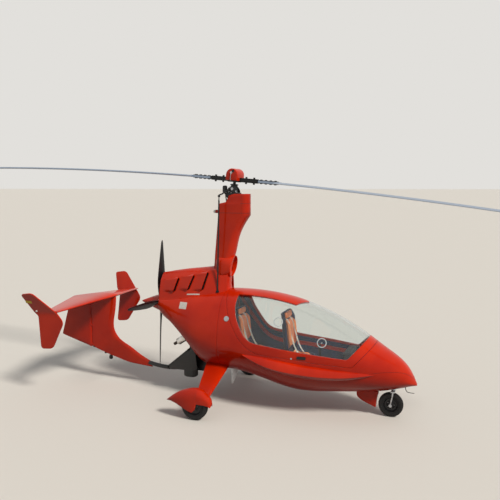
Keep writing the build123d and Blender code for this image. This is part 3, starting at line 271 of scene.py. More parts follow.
def splineThrough(xs, ys, x):
    # natural cubic spline: second derivatives from a three-band system, then the cubic of each span
    xs, ys, x = np.asarray(xs, float), np.asarray(ys, float), np.asarray(x, float)
    n, h = len(xs), np.diff(xs)
    a = np.zeros((n, n))
    r = np.zeros((n,) + ys.shape[1:])
    a[0, 0] = a[-1, -1] = 1
    k = np.arange(1, n - 1)
    a[k, k - 1], a[k, k], a[k, k + 1] = h[:-1], 2 * (h[:-1] + h[1:]), h[1:]
    slopes = np.diff(ys, axis=0) / (h[:, None] if ys.ndim > 1 else h)
    r[1:-1] = 6 * np.diff(slopes, axis=0)
    m = np.linalg.solve(a, r)
    s = np.clip(np.searchsorted(xs, x) - 1, 0, n - 2)
    lift = (lambda v: v[..., None]) if ys.ndim > 1 else (lambda v: v)
    t, hs = x - xs[s], h[s]
    t, hs = lift(t), lift(hs)
    return ys[s] + t * (lift(np.ones_like(x)) * ((ys[s + 1] - ys[s]) / hs - hs * (2 * m[s] + m[s + 1]) / 6)
                        + t * (m[s] / 2 + t * (m[s + 1] - m[s]) / (6 * hs)))


# Hull skin
# Sections are ovals of four quarter arcs: a side arc up to the join angle, then a crown arc.
hull = {
    # x, half width, height of the widest line, top, bottom, upper and lower join angle in degrees
    "sections": np.array([
        (2.320, 0.014, 0.425, 0.440, 0.411, 40, 40), (2.262, 0.088, 0.462, 0.560, 0.402, 40, 40),
        (2.150, 0.168, 0.520, 0.700, 0.370, 36, 40), (1.980, 0.252, 0.575, 0.818, 0.326, 33, 40),
        (1.700, 0.358, 0.640, 1.000, 0.286, 32, 40), (1.300, 0.428, 0.700, 1.214, 0.240, 30, 38),
        (0.850, 0.452, 0.730, 1.372, 0.224, 28, 38), (0.400, 0.455, 0.760, 1.442, 0.330, 28, 38),
        (0.000, 0.442, 0.800, 1.448, 0.392, 28, 36), (-0.380, 0.395, 0.870, 1.420, 0.440, 30, 34),
        (-0.700, 0.310, 1.000, 1.385, 0.720, 34, 36), (-1.030, 0.190, 1.190, 1.345, 1.035, 40, 40)]),
    # lattice step of the skins, wall, and metres of flat skin for t from 0 to 1
    "cell": 0.018, "wall": 0.012, "unroll": 0.70,
}


def sectionAt(x):
    table = hull["sections"][::-1]
    return splineThrough(table[:, 0], table[:, 1:], x)


def quarter(x, upper):
    # side and crown radii of the quarter oval, tangent arcs that meet at the join angle, and its arc length
    s = sectionAt(x)
    w, zWide = s[..., 0], s[..., 1]
    height = np.where(upper, s[..., 2] - zWide, zWide - s[..., 3])
    join = np.radians(np.where(upper, s[..., 4], s[..., 5]))
    scale = 1 - np.cos(join) - np.sin(join)
    side = (w * (1 - np.sin(join)) - height * np.cos(join)) / scale
    crown = (height * (1 - np.cos(join)) - w * np.sin(join)) / scale
    return w, zWide, height, join, side, crown, side * join + crown * (pi / 2 - join)


def hullPoint(x, t, inset=0.0):
    # t runs from -1 at the keel over 0 at the widest line to 1 at the crown, by arc length
    x, t = np.broadcast_arrays(np.asarray(x, float), np.asarray(t, float))
    w, zWide, height, join, side, crown, total = quarter(x, t >= 0)
    run = np.abs(t) * total
    onSide = run < side * join
    angle = np.where(onSide, run / side, join + (run - side * join) / crown)
    y = np.where(onSide, w - side + side * np.cos(angle), crown * np.cos(angle)) - inset * np.cos(angle)
    z = np.where(onSide, side * np.sin(angle), height - crown + crown * np.sin(angle)) - inset * np.sin(angle)
    return np.stack([x, y, zWide + np.where(t >= 0, 1, -1) * z], axis=-1)


def sideToSkin(points):
    # side view (x, z) to skin (x, t): the height gives the arc's angle
    x, z = np.asarray(points, float).T
    upper = z >= sectionAt(x)[..., 1]
    _, zWide, height, join, side, crown, total = quarter(x, upper)
    rise = np.minimum(np.abs(z - zWide), height)
    sideArc = rise < side * np.sin(join)
    angle = np.where(sideArc, np.arcsin(np.clip(rise / side, 0, 1)),
                     np.arcsin(np.clip((rise - height + crown) / crown, 0, 1)))
    run = np.where(sideArc, side * angle, side * join + crown * (angle - join))
    return np.stack([x, np.where(upper, 1, -1) * run / total], axis=-1)


def planToSkin(x, y, upper=True):
    # the crown arc at a given half breadth, above or below the widest line
    *_, join, side, crown, total = quarter(np.asarray(x, float), upper)
    angle = np.arccos(np.clip(y / crown, 0, 1))
    return np.stack([x, (1 if upper else -1) * (side * join + crown * (angle - join)) / total], axis=-1)


def insideLoop(points, loop):
    # even-odd rule on whole arrays
    x, y = points[:, 0][:, None], points[:, 1][:, None]
    a, b = loop, np.roll(loop, -1, axis=0)
    crosses = (a[:, 1] > y) != (b[:, 1] > y)
    slope = (b[:, 0] - a[:, 0]) / np.where(b[:, 1] == a[:, 1], 1e-12, b[:, 1] - a[:, 1])
    return (crosses & (x < a[:, 0] + (y - a[:, 1]) * slope)).sum(axis=1) % 2 == 1


def trimmedFlat(outline, cell):
    # a lattice of points inside the outline, joined with it to triangles; those outside go
    low, high = outline.min(axis=0), outline.max(axis=0)
    gx, gy = np.meshgrid(np.arange(low[0], high[0], cell), np.arange(low[1], high[1], cell), indexing="ij")
    lattice = np.stack([gx.ravel(), gy.ravel()], axis=-1)
    lattice = lattice[insideLoop(lattice, outline)]
    for block in np.array_split(outline, max(1, len(outline) // 200)):
        gap = np.abs(lattice[:, None, :] - block[None, :, :]).max(axis=2).min(axis=1)
        lattice = lattice[gap > 0.45 * cell]
    k = np.arange(len(outline))
    edges = np.stack([k, (k + 1) % len(outline)], axis=-1).tolist()
    result = geometry.delaunay_2d_cdt([Vector(p) for p in np.concatenate([outline, lattice])], edges, [], 0, 1e-7)
    flat = np.array([tuple(p) for p in result[0]])
    triangles = np.array(result[2], int)
    return flat, triangles[insideLoop(flat[triangles].mean(axis=1), outline)]


def weld(item):
    work = bmesh.new()
    work.from_mesh(item.data)
    bmesh.ops.remove_doubles(work, verts=work.verts, dist=1e-5)
    bmesh.ops.recalc_face_normals(work, faces=work.faces)
    work.to_mesh(item.data)
    work.free()


def makePiece(name, shells, finish, replaces=(), body="airframe", wall=None, offset=-1.0, bevel=0.0,
              segments=2, limit=35.0, angle=40.0):
    # all shells in one mesh, welded; a wall grows inwards with offset -1, to both sides with 0
    points, faces, start = [], [], 0
    for shellPoints, shellFaces in shells:
        points.append(shellPoints)
        faces += [f + start for f in shellFaces]
        start += len(shellPoints)
    item = meshObject(name, np.concatenate(points), faces, finish, body, replaces)
    weld(item)
    if wall:
        addModifier(item, "SOLIDIFY", {"thickness": wall, "offset": offset, "use_even_offset": offset != 0})
    if bevel:
        addModifier(item, "BEVEL", {"width": bevel, "segments": segments, "limit_method": "ANGLE",
                                    "angle_limit": math.radians(limit)})
    if wall or bevel:
        applyModifiers(item)
    item.data.set_sharp_from_angle(angle=math.radians(angle))
    return item


def skinPanel(name, outline, finish, replaces=(), body="airframe", inset=0.0, wall=None, bevel=0.0012):
    # the outline is a loop in (x, t * unroll) on the port half; the panel is mirrored to starboard
    flat, triangles = trimmedFlat(outline, hull["cell"])
    points = hullPoint(flat[:, 0], np.clip(flat[:, 1] / hull["unroll"], -1, 1), inset)
    points[np.abs(points[:, 1]) < 2e-4, 1] = 0
    faces = np.concatenate([triangles, triangles[:, ::-1] + len(points)])
    both = np.concatenate([points, points * np.array([1, -1, 1])])
    makePiece(name, [(both, [faces])], finish, replaces, body, wall=wall, bevel=bevel, limit=60)


def smoothRun(points, step=0.012):
    # natural cubic through the points by chord length, sampled at even steps
    points = np.asarray(points, float)
    chord = np.concatenate([[0], np.cumsum(np.linalg.norm(np.diff(points, axis=0), axis=1))])
    return splineThrough(chord, points, np.linspace(0, chord[-1], int(chord[-1] / step) + 2))


def straightRun(a, b, step=0.012):
    count = max(2, int(np.ceil(np.linalg.norm(np.subtract(b, a)) / step)) + 1)
    return np.asarray(a, float) + np.subtract(b, a) * np.linspace(0, 1, count)[:, None]


def shiftedRun(run, gap):
    # the run moved sideways, to its left, by the gap
    along = unit(np.gradient(run, axis=0))
    return run + gap * np.stack([-along[:, 1], along[:, 0]], axis=-1)


def skinRun(sideRun):
    # side view run to the skin, cut where it leaves the crown, from its first to its last point below it
    below = sideRun[:, 1] - sectionAt(sideRun[:, 0])[:, 2]
    keep = np.flatnonzero(below < 0)
    first, last = keep[0], keep[-1]
    run = sideRun[first:last + 1]
    if first:
        share = below[first] / (below[first] - below[first - 1])
        run = np.concatenate([[run[0] + share * (sideRun[first - 1] - run[0])], run])
    if last < len(sideRun) - 1:
        share = below[last] / (below[last] - below[last + 1])
        run = np.concatenate([run, [run[-1] + share * (sideRun[last + 1] - run[-1])]])
    flat = sideToSkin(run)
    if first:
        flat[0, 1] = 1
    if last < len(sideRun) - 1:
        flat[-1, 1] = 1
    return flat * [1, hull["unroll"]]


def level(x0, x1, t):
    # a run along the skin at one t
    return straightRun((x0, t * hull["unroll"]), (x1, t * hull["unroll"]), 0.014)


def upright(x, t0, t1):
    return straightRun((x, t0 * hull["unroll"]), (x, t1 * hull["unroll"]), 0.014)


def denser(loop, step):
    # a closed loop with its straight sides cut into equal steps
    return np.concatenate([straightRun(a, b, step)[:-1] for a, b in zip(loop, np.roll(loop, -1, axis=0))])


def joinRuns(*runs):
    loop = np.concatenate(runs)
    keep = np.linalg.norm(loop - np.roll(loop, 1, axis=0), axis=1) > 1e-5
    return loop[keep]


canopy = {
    "gap": 0.004, "frameWall": 0.022, "paneInset": 0.0015, "paneWall": 0.004,
    "cowlSeam": -0.075, "stripHalf": 0.180, "stripFront": 0.878, "stripCrown": 1.000,
    "seamCurve": [(-0.055, 1.600), (-0.040, 1.430), (0.0, 1.310), (0.036, 1.200), (0.112, 1.050), (0.220, 0.888),
                  (0.355, 0.768), (0.520, 0.718), (0.814, 0.708), (1.124, 0.684), (1.612, 0.655)],
    "seamFront": [(1.612, 0.655), (1.845, 0.905), (1.900, 1.000)],
    "windowCurve": [(0.140, 1.500), (0.126, 1.300), (0.160, 1.150), (0.215, 1.040), (0.350, 0.880),
                    (0.520, 0.842), (0.813, 0.812), (1.180, 0.780), (1.556, 0.748)],
    "windowFront": [(1.556, 0.748), (1.775, 0.985), (1.850, 1.100)],
}
well = {"x": 2.048, "radius": 0.100}


def frontRun(points):
    return np.concatenate([straightRun(a, b)[1:] for a, b in zip(points, points[1:])])


def roundedJoin(a, b, size=0.02):
    # two runs joined at a corner that is rounded with a short quadratic curve
    corner = a[-1]
    a = a[np.linalg.norm(a - corner, axis=1) > size]
    b = b[np.linalg.norm(b - corner, axis=1) > size]
    s = np.linspace(0, 1, 6)[1:-1, None]
    return np.concatenate([a, (1 - s) ** 2 * a[-1] + 2 * s * (1 - s) * corner + s ** 2 * b[0], b])


seamSide = roundedJoin(smoothRun(canopy["seamCurve"]), frontRun(canopy["seamFront"]), 0.015)
windowSide = roundedJoin(smoothRun(canopy["windowCurve"]), frontRun(canopy["windowFront"]), 0.022)
seamSkin = skinRun(seamSide)
frameSkin = skinRun(shiftedRun(seamSide, canopy["gap"]))
windowSkin = skinRun(windowSide)


def wellRun():
    # the round opening of the wheel well, from behind the wheel round the port side to the front
    turn = np.linspace(0, pi, 25)
    run = planToSkin(well["x"] - well["radius"] * np.cos(turn), well["radius"] * np.sin(turn), upper=False)
    run[[0, -1], 1] = -1
    return run * [1, hull["unroll"]]


nose = hull["sections"][0, 0]
tubLoop = joinRuns(
    level(canopy["cowlSeam"], well["x"] - well["radius"], -1), wellRun(),
    level(well["x"] + well["radius"], nose, -1), upright(nose, -1, 1), level(nose, seamSkin[-1, 0], 1),
    seamSkin[::-1], level(seamSkin[0, 0], canopy["cowlSeam"], 1), upright(canopy["cowlSeam"], 1, -1))
skinPanel("hullTubSkin", tubLoop, "redPolyurethaneEnamel", ("hull_tub",), wall=hull["wall"])
print("tub made")


# Canopy: painted frame with its roof strip, and one blown pane
stripRun = planToSkin(np.linspace(0.10, canopy["stripFront"], 70), canopy["stripHalf"]) * [1, hull["unroll"]]
cut = int(np.argmax(windowSkin[:, 1] < np.interp(windowSkin[:, 0], stripRun[:, 0], stripRun[:, 1])))
windowLow = windowSkin[cut:]
stripRun = stripRun[stripRun[:, 0] > windowLow[0, 0] + 0.004]
stripEnd = straightRun(stripRun[-1], (canopy["stripCrown"], hull["unroll"]))
frameLoop = joinRuns(
    level(frameSkin[0, 0], canopy["stripCrown"], 1), stripEnd[::-1], stripRun[::-1], windowLow,
    level(windowLow[-1, 0], frameSkin[-1, 0], 1), frameSkin[::-1])
skinPanel("canopyFrameSkin", frameLoop, "redPolyurethaneEnamel", ("canopy_frame",), body="canopy",
          wall=canopy["frameWall"], bevel=0.0015)

# Inner trim of the frame: the same navy cloth, short of the window's painted edge
trimLook = {"sill": 0.008, "edge": 0.030, "wall": 0.003}
trimLow = skinRun(shiftedRun(seamSide, trimLook["sill"]))
trimHigh = skinRun(shiftedRun(windowSide, -trimLook["edge"]))
skinPanel("canopyFrameTrim", joinRuns(trimLow, trimHigh[::-1]), "cabinLiningFabricBlue", body="canopy",
          inset=canopy["frameWall"] + 0.001, wall=trimLook["wall"], bevel=0)

# Blown acrylic, 4 mm: clear with a faint green grey tint and a sharp gloss
paneTint = "#F6FBFB"


def paneMaterial():
    tree, here = newMaterial("blownAcrylicSheet")
    smear = addNode(tree, "ShaderNodeTexNoise", {"Scale": 9.0, "Detail": 5.0, "Roughness": 0.65},
                    here)
    rough = addNode(tree, "ShaderNodeMapRange", {"From Min": 0.45, "From Max": 0.75, "To Min": 0.0, "To Max": 0.07},
                    {"Value": smear.outputs["Fac"]})
    finishMaterial(tree, {"Base Color": linearColour(paneTint), "IOR": 1.49,
                                  "Transmission Weight": 1.0}, {"Roughness": rough.outputs["Result"]})


paneMaterial()
paneLoop = joinRuns(
    level(canopy["stripCrown"], windowLow[-1, 0], 1), windowLow[::-1], stripRun, stripEnd)
skinPanel("canopyPane", paneLoop, "blownAcrylicSheet", ("canopy_glass",), body="canopy", inset=canopy["paneInset"],
          wall=canopy["paneWall"], bevel=0)
print("canopy made")


# Shells: a shell is points and a list of face arrays; pieces are made of one or more shells
def closedLoft(rings):
    # rings carried along rows, closed round the columns; each end is a fan to its middle
    rings = np.asarray(rings, float)
    rows, columns = rings.shape[:2]
    points, faces = [rings.reshape(-1, 3)], [gridFaces(rows, columns, closeColumns=True)]
    j = np.arange(columns)
    for row in (0, rows - 1):
        middle = np.full(columns, rows * columns + len(points) - 1)
        points.append(rings[row].mean(axis=0)[None, :])
        faces.append(np.stack([middle, row * columns + j, row * columns + (j + 1) % columns], axis=-1))
    return np.concatenate(points), faces


def openSheet(grid):
    grid = np.asarray(grid, float)
    return grid.reshape(-1, 3), [gridFaces(grid.shape[0], grid.shape[1])]


def tube(path, radius, sides=20, lift=(0, 0, 1)):
    # circle of a radius, or of one for each point, along a path: side = tangent x lift, up = side x tangent
    path = np.asarray(path, float)
    tangent = unit(np.gradient(path, axis=0))
    side = unit(np.cross(tangent, lift))
    up = np.cross(side, tangent)
    turn = np.arange(sides) * 2 * pi / sides
    r = np.broadcast_to(np.asarray(radius, float), (len(path),))[:, None, None]
    ring = np.cos(turn)[None, :, None] * side[:, None, :] + np.sin(turn)[None, :, None] * up[:, None, :]
    return closedLoft(path[:, None, :] + r * ring)


def lathe(profile, place, axis, turns=48):
    # (along, radius) profile turned about an axis through a place; a radius of zero closes the pole, and a
    # profile that stays clear of the axis closes on itself
    profile = np.asarray(profile, float)
    axis = unit(axis)
    side = unit(np.cross(axis, (0, 0, 1.0) if abs(axis[2]) < 0.9 else (1.0, 0, 0)))
    up = np.cross(side, axis)
    turn = np.arange(turns) * 2 * pi / turns
    ring = np.cos(turn)[:, None] * side + np.sin(turn)[:, None] * up
    grid = (np.asarray(place, float) + profile[:, 0][:, None, None] * axis
            + np.maximum(profile[:, 1], 1e-6)[:, None, None] * ring[None, :, :])
    isRing = profile[0, 1] > 1e-5 and profile[-1, 1] > 1e-5
    return grid.reshape(-1, 3), [gridFaces(len(profile), turns, closeRows=isRing, closeColumns=True)]


def boxShell(corner, opposite):
    x, y, z = np.meshgrid(*[np.array(sorted(pair), float) for pair in zip(corner, opposite)], indexing="ij")
    points = np.stack([x.ravel(), y.ravel(), z.ravel()], axis=-1)
    return points, [np.array([[0, 1, 3, 2], [4, 6, 7, 5], [0, 4, 5, 1], [2, 3, 7, 6], [0, 2, 6, 4], [1, 5, 7, 3]])]


def plateShell(loop, thickness):
    # a flat loop of points carried through a thickness vector
    loop = np.asarray(loop, float)
    n, j = len(loop), np.arange(len(loop))
    sides = np.stack([j, (j + 1) % n, n + (j + 1) % n, n + j], axis=-1)
    return np.concatenate([loop, loop + np.asarray(thickness, float)]), [sides, j[::-1][None, :], (n + j)[None, :]]


def sidePlate(loop, y, depth):
    # a side-view loop (x, z) as a plate, from one y over a signed depth
    return plateShell(np.insert(np.asarray(loop, float), 1, y, axis=1), (0, depth, 0))


def planLoft(loop, rows):
    # a plan loop (x, y) carried through (height, share): each row is drawn in about the loop's middle
    middle = loop.mean(axis=0)
    return closedLoft([np.append(middle + (loop - middle) * share, np.full((len(loop), 1), h), axis=1)
                       for h, share in rows])


def placed(shell, matrix, move):
    return shell[0] @ matrix.T + np.asarray(move, float), shell[1]


def onSide(shell, side):
    # side 1 is port, -1 is starboard
    return shell[0] * np.array([1, side, 1]), shell[1]


bothSides = (("Left", 1), ("Right", -1))


def turnAbout(axis, degrees):
    # Rodrigues: I + sin K + (1 - cos) K K
    x, y, z = unit(axis)
    k = np.array([[0, -z, y], [z, 0, -x], [-y, x, 0]])
    a = math.radians(degrees)
    return np.eye(3) + math.sin(a) * k + (1 - math.cos(a)) * k @ k


def roundLoop(points, radius, steps=6):
    # closed loop with each corner replaced by a quadratic curve that starts and ends one radius away
    points = np.asarray(points, float)
    back, ahead = np.roll(points, 1, axis=0) - points, np.roll(points, -1, axis=0) - points
    lb, la = np.linalg.norm(back, axis=1), np.linalg.norm(ahead, axis=1)
    r = np.minimum(np.broadcast_to(radius, (len(points),)), 0.45 * np.minimum(lb, la))
    a, b = points + back * (r / lb)[:, None], points + ahead * (r / la)[:, None]
    s = np.linspace(0, 1, steps)[None, :, None]
    return ((1 - s) ** 2 * a[:, None] + 2 * s * (1 - s) * points[:, None] + s ** 2 * b[:, None]).reshape(-1, 2)


# Engine cowl: the hull behind the seam, the raised back with its crease, and flared louvres
cowl = {
    "rear": -1.030, "wall": 0.008, "gap": 0.003,
    "opening": [(-1.030, 1.050), (-0.940, 1.034), (-0.842, 1.005), (-0.740, 0.935), (-0.640, 0.850),
                (-0.560, 0.765), (-0.490, 0.680), (-0.430, 0.570), (-0.402, 0.470)],
    # x, half width at the crease, half width at the foot, top, crease and foot height
    "ridge": np.array([(-1.030, 0.110, 0.170, 1.608, 1.509, 1.270), (-0.650, 0.132, 0.200, 1.677, 1.594, 1.320),
                       (-0.325, 0.122, 0.192, 1.720, 1.666, 1.330), (-0.150, 0.105, 0.165, 1.745, 1.700, 1.330),
                       (-0.060, 0.090, 0.120, 1.750, 1.705, 1.330)]),
    "louvres": [(-0.755, 1.562, -0.812, 1.370), (-0.530, 1.608, -0.603, 1.408), (-0.335, 1.655, -0.403, 1.415)],
    "flare": 0.036, "shadeSheetInset": 0.010, "slot": 0.026, "hollow": 0.006, "footFront": -0.160, "shaftRing": 0.064,
}


def ridgeAt(x):
    return splineThrough(cowl["ridge"][:, 0], cowl["ridge"][:, 1:], x)


def ridgePoint(x, u, inset=0.0):
    # u from 0 at the foot to 1 at the crease on a slightly hollow side, and on to 2 at the top of the back
    x, u = np.broadcast_arrays(np.asarray(x, float), np.asarray(u, float))
    r = ridgeAt(x)
    side, over = np.clip(u, -0.4, 1), np.clip(u - 1, 0, 1)
    y = r[..., 1] + (r[..., 0] - r[..., 1]) * side - r[..., 0] * over
    y = y + cowl["hollow"] * np.sin(pi * np.maximum(side, 0))
    rise = (r[..., 2] - r[..., 3]) * np.sin(over * pi / 2)
    z = r[..., 4] + (r[..., 3] - r[..., 4]) * side + rise
    return np.stack([x, np.maximum(y - inset, 0), z - inset], axis=-1)


def ridgeFoot(x):
    # t of the hull skin where the ridge's side meets it: first sign change of the gap along the crown
    t = np.linspace(0, 1, 400)[None, :]
    skin = hullPoint(x[:, None], t)
    r = ridgeAt(x)
    share = (skin[..., 2] - r[:, 4:5]) / (r[:, 3:4] - r[:, 4:5])
    gap = skin[..., 1] - (r[:, 1:2] + (r[:, 0:1] - r[:, 1:2]) * np.clip(share, -0.4, 1))
    first = np.argmax(gap < 0, axis=1)
    return t[0, first], hullPoint(x, t[0, first])


openSkin = sideToSkin(smoothRun(cowl["opening"], 0.014)) * [1, hull["unroll"]]
openSkin[-1, 1] = -hull["unroll"]
footX = np.linspace(cowl["footFront"], cowl["rear"], 64)
footT, footPoint = ridgeFoot(footX)
footRun = np.stack([footX, footT * hull["unroll"]], axis=-1)
seamX = canopy["cowlSeam"] - cowl["gap"]
cowlLoop = joinRuns(
    level(openSkin[-1, 0], seamX, -1), upright(seamX, -1, 1), level(seamX, cowl["footFront"], 1),
    upright(cowl["footFront"], 1, footT[0]),
    footRun, upright(cowl["rear"], footT[-1], openSkin[0, 1] / hull["unroll"]), openSkin)
skinPanel("engineCowlSkin", cowlLoop, "redPolyurethaneEnamel", ("engine_cowl",), wall=cowl["wall"])
footU = (footPoint[:, 2] - ridgeAt(footX)[:, 4]) / (ridgeAt(footX)[:, 3] - ridgeAt(footX)[:, 4])


def ridgeLine(line, u):
    # x and height along a slanting line of the ridge's side, stepping between place and height until they agree
    x = np.full(len(u), line[0])
    for _ in range(4):
        r = ridgeAt(x)
        z = r[:, 4] + (r[:, 3] - r[:, 4]) * u
        x = line[0] + (line[2] - line[0]) * (line[1] - z) / (line[1] - line[3] + 1e-9)
    return x, z


def ridgeSide():
    # side panels between the louvres: flush at the rear edge, swung outwards to the front edge, with a slot behind
    ridgeFront = cowl["ridge"][-1, 0]
    lines = [(ridgeFront, 1.70, ridgeFront, 1.33), *cowl["louvres"][::-1], (cowl["rear"], 1.51, cowl["rear"], 1.27)]
    shells = []
    u = np.linspace(-0.25, 1, 64)
    for ahead, behind in zip(lines, lines[1:]):
        s = np.linspace(0, 1, 18)[:, None]
        front = ridgeLine(ahead, u)[0][None, :]
        rear, z = ridgeLine(behind, u)
        if behind[0] != behind[2]:
            open01 = np.clip((z - behind[3]) / 0.02, 0, 1) * np.clip((behind[1] - z) / 0.02, 0, 1)
            rear = rear - 0.004 + (cowl["slot"] + 0.004) * open01
        x = front + s * (rear[None, :] - front)
        grid = ridgePoint(x, np.broadcast_to(u[None, :], x.shape))
        if ahead[0] != ahead[2]:
            low = np.clip((grid[..., 2] - ahead[3]) / 0.03, 0, 1) * np.clip((1 - u[None, :]) / 0.06, 0, 1)
            push = cowl["flare"] * np.clip(1 - s / 0.85, 0, 1) ** 1.3 * low ** 0.5
            grid[..., 1] += push
            grid[..., 0] += 0.25 * push
        shells.append(openSheet(grid))
    return shells


def ridgeTop():
    # the back from crease to crease with a small overhang along the crease
    x = np.linspace(cowl["ridge"][-1, 0], cowl["rear"], 60)[:, None]
    u = np.linspace(1, 2, 14)[None, :]
    half = ridgePoint(x, u + 0 * x)
    return openSheet(np.concatenate([half, half[:, -2::-1] * [1, -1, 1]], axis=1))


def ridgeRear():
    # bulkhead behind the engine bay: rows from the outline towards the ring round the propeller shaft
    t = np.linspace(openSkin[0, 1] / hull["unroll"], footT[-1], 40)
    outline = hullPoint(cowl["rear"], t)
    side = ridgePoint(cowl["rear"], np.linspace(footU[-1], 2, 24))
    half = np.concatenate([outline, side[1:]])
    loop = np.concatenate([half, half[::-1] * [1, -1, 1]])
    middle = np.array([cowl["rear"], 0, 1.190])
    ring = middle + unit(loop - middle) * cowl["shaftRing"]
    s = np.linspace(0, 1, 8)[:, None, None]
    return openSheet((1 - s) * loop[None] + s * ring[None])


sides = ridgeSide()
makePiece("engineCowlBack", [ridgeTop()] + sides + [onSide(s, -1) for s in sides], "redPolyurethaneEnamel",
          wall=0.004, bevel=0.0008, angle=30)
makePiece("engineCowlRear", [ridgeRear()], "redPolyurethaneEnamel", wall=0.004)
# a black sheet just inside the ridge, painted as the shade seen through the louvres' slots
shadeSheetX, shadeSheetU = np.linspace(-0.23, -0.90, 40)[:, None], np.linspace(0.05, 0.985, 16)[None, :]
shadeSheet = openSheet(ridgePoint(shadeSheetX, shadeSheetU, cowl["shadeSheetInset"]))
makePiece("louvreSlotShadeSheet", [shadeSheet, onSide(shadeSheet, -1)], "nylonBlackMoulding", wall=0.002)
print("cowl made")


# Mast: round nose, flat tail, sloped off above for the rotor head's levers
mast = {
    # height, front x, rear x, half thickness
    "rows": np.array([(1.380, -0.066, -0.345, 0.140), (1.500, -0.060, -0.318, 0.124), (1.620, -0.054, -0.288, 0.112),
                      (1.740, -0.044, -0.266, 0.104), (1.873, 0.000, -0.256, 0.100), (2.020, 0.036, -0.244, 0.096),
                      (2.170, 0.080, -0.232, 0.092), (2.290, 0.142, -0.222, 0.088), (2.385, 0.206, -0.216, 0.086)]),
    # height and rear x of the slope under the rotor head
    "slope": [(2.542, -0.206), (2.563, -0.108), (2.611, -0.081), (2.644, -0.068), (2.668, 0.008)],
    # the straight head: front and half thickness; shares of the half thickness for tail and nose
    "headFront": 0.213, "headHalf": 0.086, "tail": 0.76, "nose": 0.95, "corner": 0.022,
}


def mastRing(z, front, rear, half):
    # half ellipse at the nose, straight tapering sides, and a flat tail with rounded corners
    bow = mast["nose"] * half
    turn = np.linspace(-pi / 2, pi / 2, 25)
    noseX, noseY = front - bow + bow * np.cos(turn), half * np.sin(turn)
    tail, corner = mast["tail"] * half, mast["corner"]
    a = np.linspace(0, pi / 2, 6)
    cornerX, cornerY = rear + corner - corner * np.sin(a), tail - corner + corner * np.cos(a)
    x = np.concatenate([noseX, cornerX, cornerX[::-1]])
    y = np.concatenate([noseY, cornerY, -cornerY[::-1]])
    return np.stack([x, y, np.full(len(x), z)], axis=-1)


def mastShell():
    z = np.linspace(mast["rows"][0, 0], mast["rows"][-1, 0], 46)
    table = splineThrough(mast["rows"][:, 0], mast["rows"][:, 1:], z)
    low = [mastRing(h, *row) for h, row in zip(z, table)]
    straight = [(h, -mast["headFront"]) for h in (2.400, 2.45, 2.50, 2.536)]
    high = [mastRing(h, mast["headFront"], rear, mast["headHalf"]) for h, rear in straight + mast["slope"]]
    return closedLoft(low + high)


makePiece("mastFairing", [mastShell()], "redPolyurethaneEnamel", ("mast",), bevel=0.003, angle=38)


# Intake collar on the mast's foot: a round mouth that leans forward, a boxy body and a narrower foot below
scoop = {
    "mouth": (-0.025, 1.735), "half": (0.125, 0.143), "lean": 10.5, "lip": 0.0055, "lipAhead": 0.009,
    "throat": -0.137,
    # distance behind the mouth and how much smaller than its outside, from the throat to the lip
    "inside": [(0.12, 0.03), (0.05, 0.018), (0.012, 0.011)],
    # behind the mouth, below it, added half width and half height, power of the oval, lean in degrees
    "outside": [(0.012, 0.002, 0.001, 0.001, 2.15, 10.0), (0.04, 0.004, 0.004, 0.001, 2.5, 8.5),
                (0.075, 0.008, 0.006, -0.002, 3.1, 6.0), (0.115, 0.012, 0.006, -0.006, 3.8, 4.0),
                (0.150, 0.014, 0.004, -0.010, 4.2, 2.0), (0.185, 0.016, -0.006, -0.016, 4.2, 0.0),
                (0.205, 0.018, -0.030, -0.024, 4.0, 0.0)],
    # height, front x and half width of the foot's ovals, and its rear x
    "foot": [(1.395, -0.030, 0.134), (1.43, -0.048, 0.120), (1.455, -0.056, 0.113), (1.50, -0.060, 0.109),
             (1.56, -0.056, 0.110), (1.62, -0.050, 0.115), (1.66, -0.048, 0.118)],
    "footRear": -0.27,
}


def superRing(centre, halfWide, halfHigh, power, lean):
    # |y/a|^p + |h/b|^p = 1, in a plane that leans about Y
    turn = np.arange(64) * 2 * pi / 64
    y = halfWide * signedPower(np.cos(turn), 2 / power)
    h = halfHigh * signedPower(np.sin(turn), 2 / power)
    a = math.radians(lean)
    return np.stack([centre[0] + h * math.sin(a), y, centre[1] + h * math.cos(a)], axis=-1)


def scoopShell():
    x, z = scoop["mouth"]
    w, h = scoop["half"]
    lip, lean = scoop["lip"], scoop["lean"]
    ahead = scoop["lipAhead"] * math.cos(math.radians(lean))
    inner = [superRing((x - back, z), w - small, h - small, 2.0, lean) for back, small in scoop["inside"]]
    rim = []
    for a in np.linspace(0.15, pi - 0.15, 7):
        small = lip * (1 + math.cos(a))
        rim.append(superRing((x + ahead * math.sin(a), z), w - small, h - small, 2.0, lean))
    outer = [superRing((x - back, z - below), w + wide, h + high, power, tilt)
             for back, below, wide, high, power, tilt in scoop["outside"]]
    return closedLoft(inner + rim + outer)


def scoopFoot():
    # horizontal ovals from the roof up into the collar's underside
    z, front, half = np.array(scoop["foot"]).T[:, :, None]
    turn = np.arange(48) * 2 * pi / 48
    long = (front - scoop["footRear"]) / 2
    x = front - long + long * signedPower(np.cos(turn), 0.8)
    return closedLoft(np.stack([x, half * signedPower(np.sin(turn), 0.8), np.broadcast_to(z, x.shape)], axis=-1))


makePiece("intakeCollar", [scoopShell(), scoopFoot()], "redPolyurethaneEnamel", ("intake_scoop",), angle=35)
leanAngle = math.radians(scoop["lean"])
throat = lathe([(0, 0), (0, 0.108), (0.012, 0.1115), (0.014, 0)], (scoop["throat"], 0, scoop["mouth"][1]),
               (math.cos(leanAngle), 0, -math.sin(leanAngle)), 64)
makePiece("intakeThroat", [throat], "nylonBlackMoulding")
print("mast made")


# Side strakes
strake = {
    # x, reach beyond the hull's widest line, top and bottom height
    "rows": np.array([(0.270, 0.004, 0.712, 0.700), (0.520, 0.060, 0.700, 0.560), (0.820, 0.085, 0.668, 0.490),
                      (1.200, 0.080, 0.636, 0.470), (1.560, 0.050, 0.612, 0.500), (1.860, 0.004, 0.590, 0.570)]),
    "sink": 0.004,
}


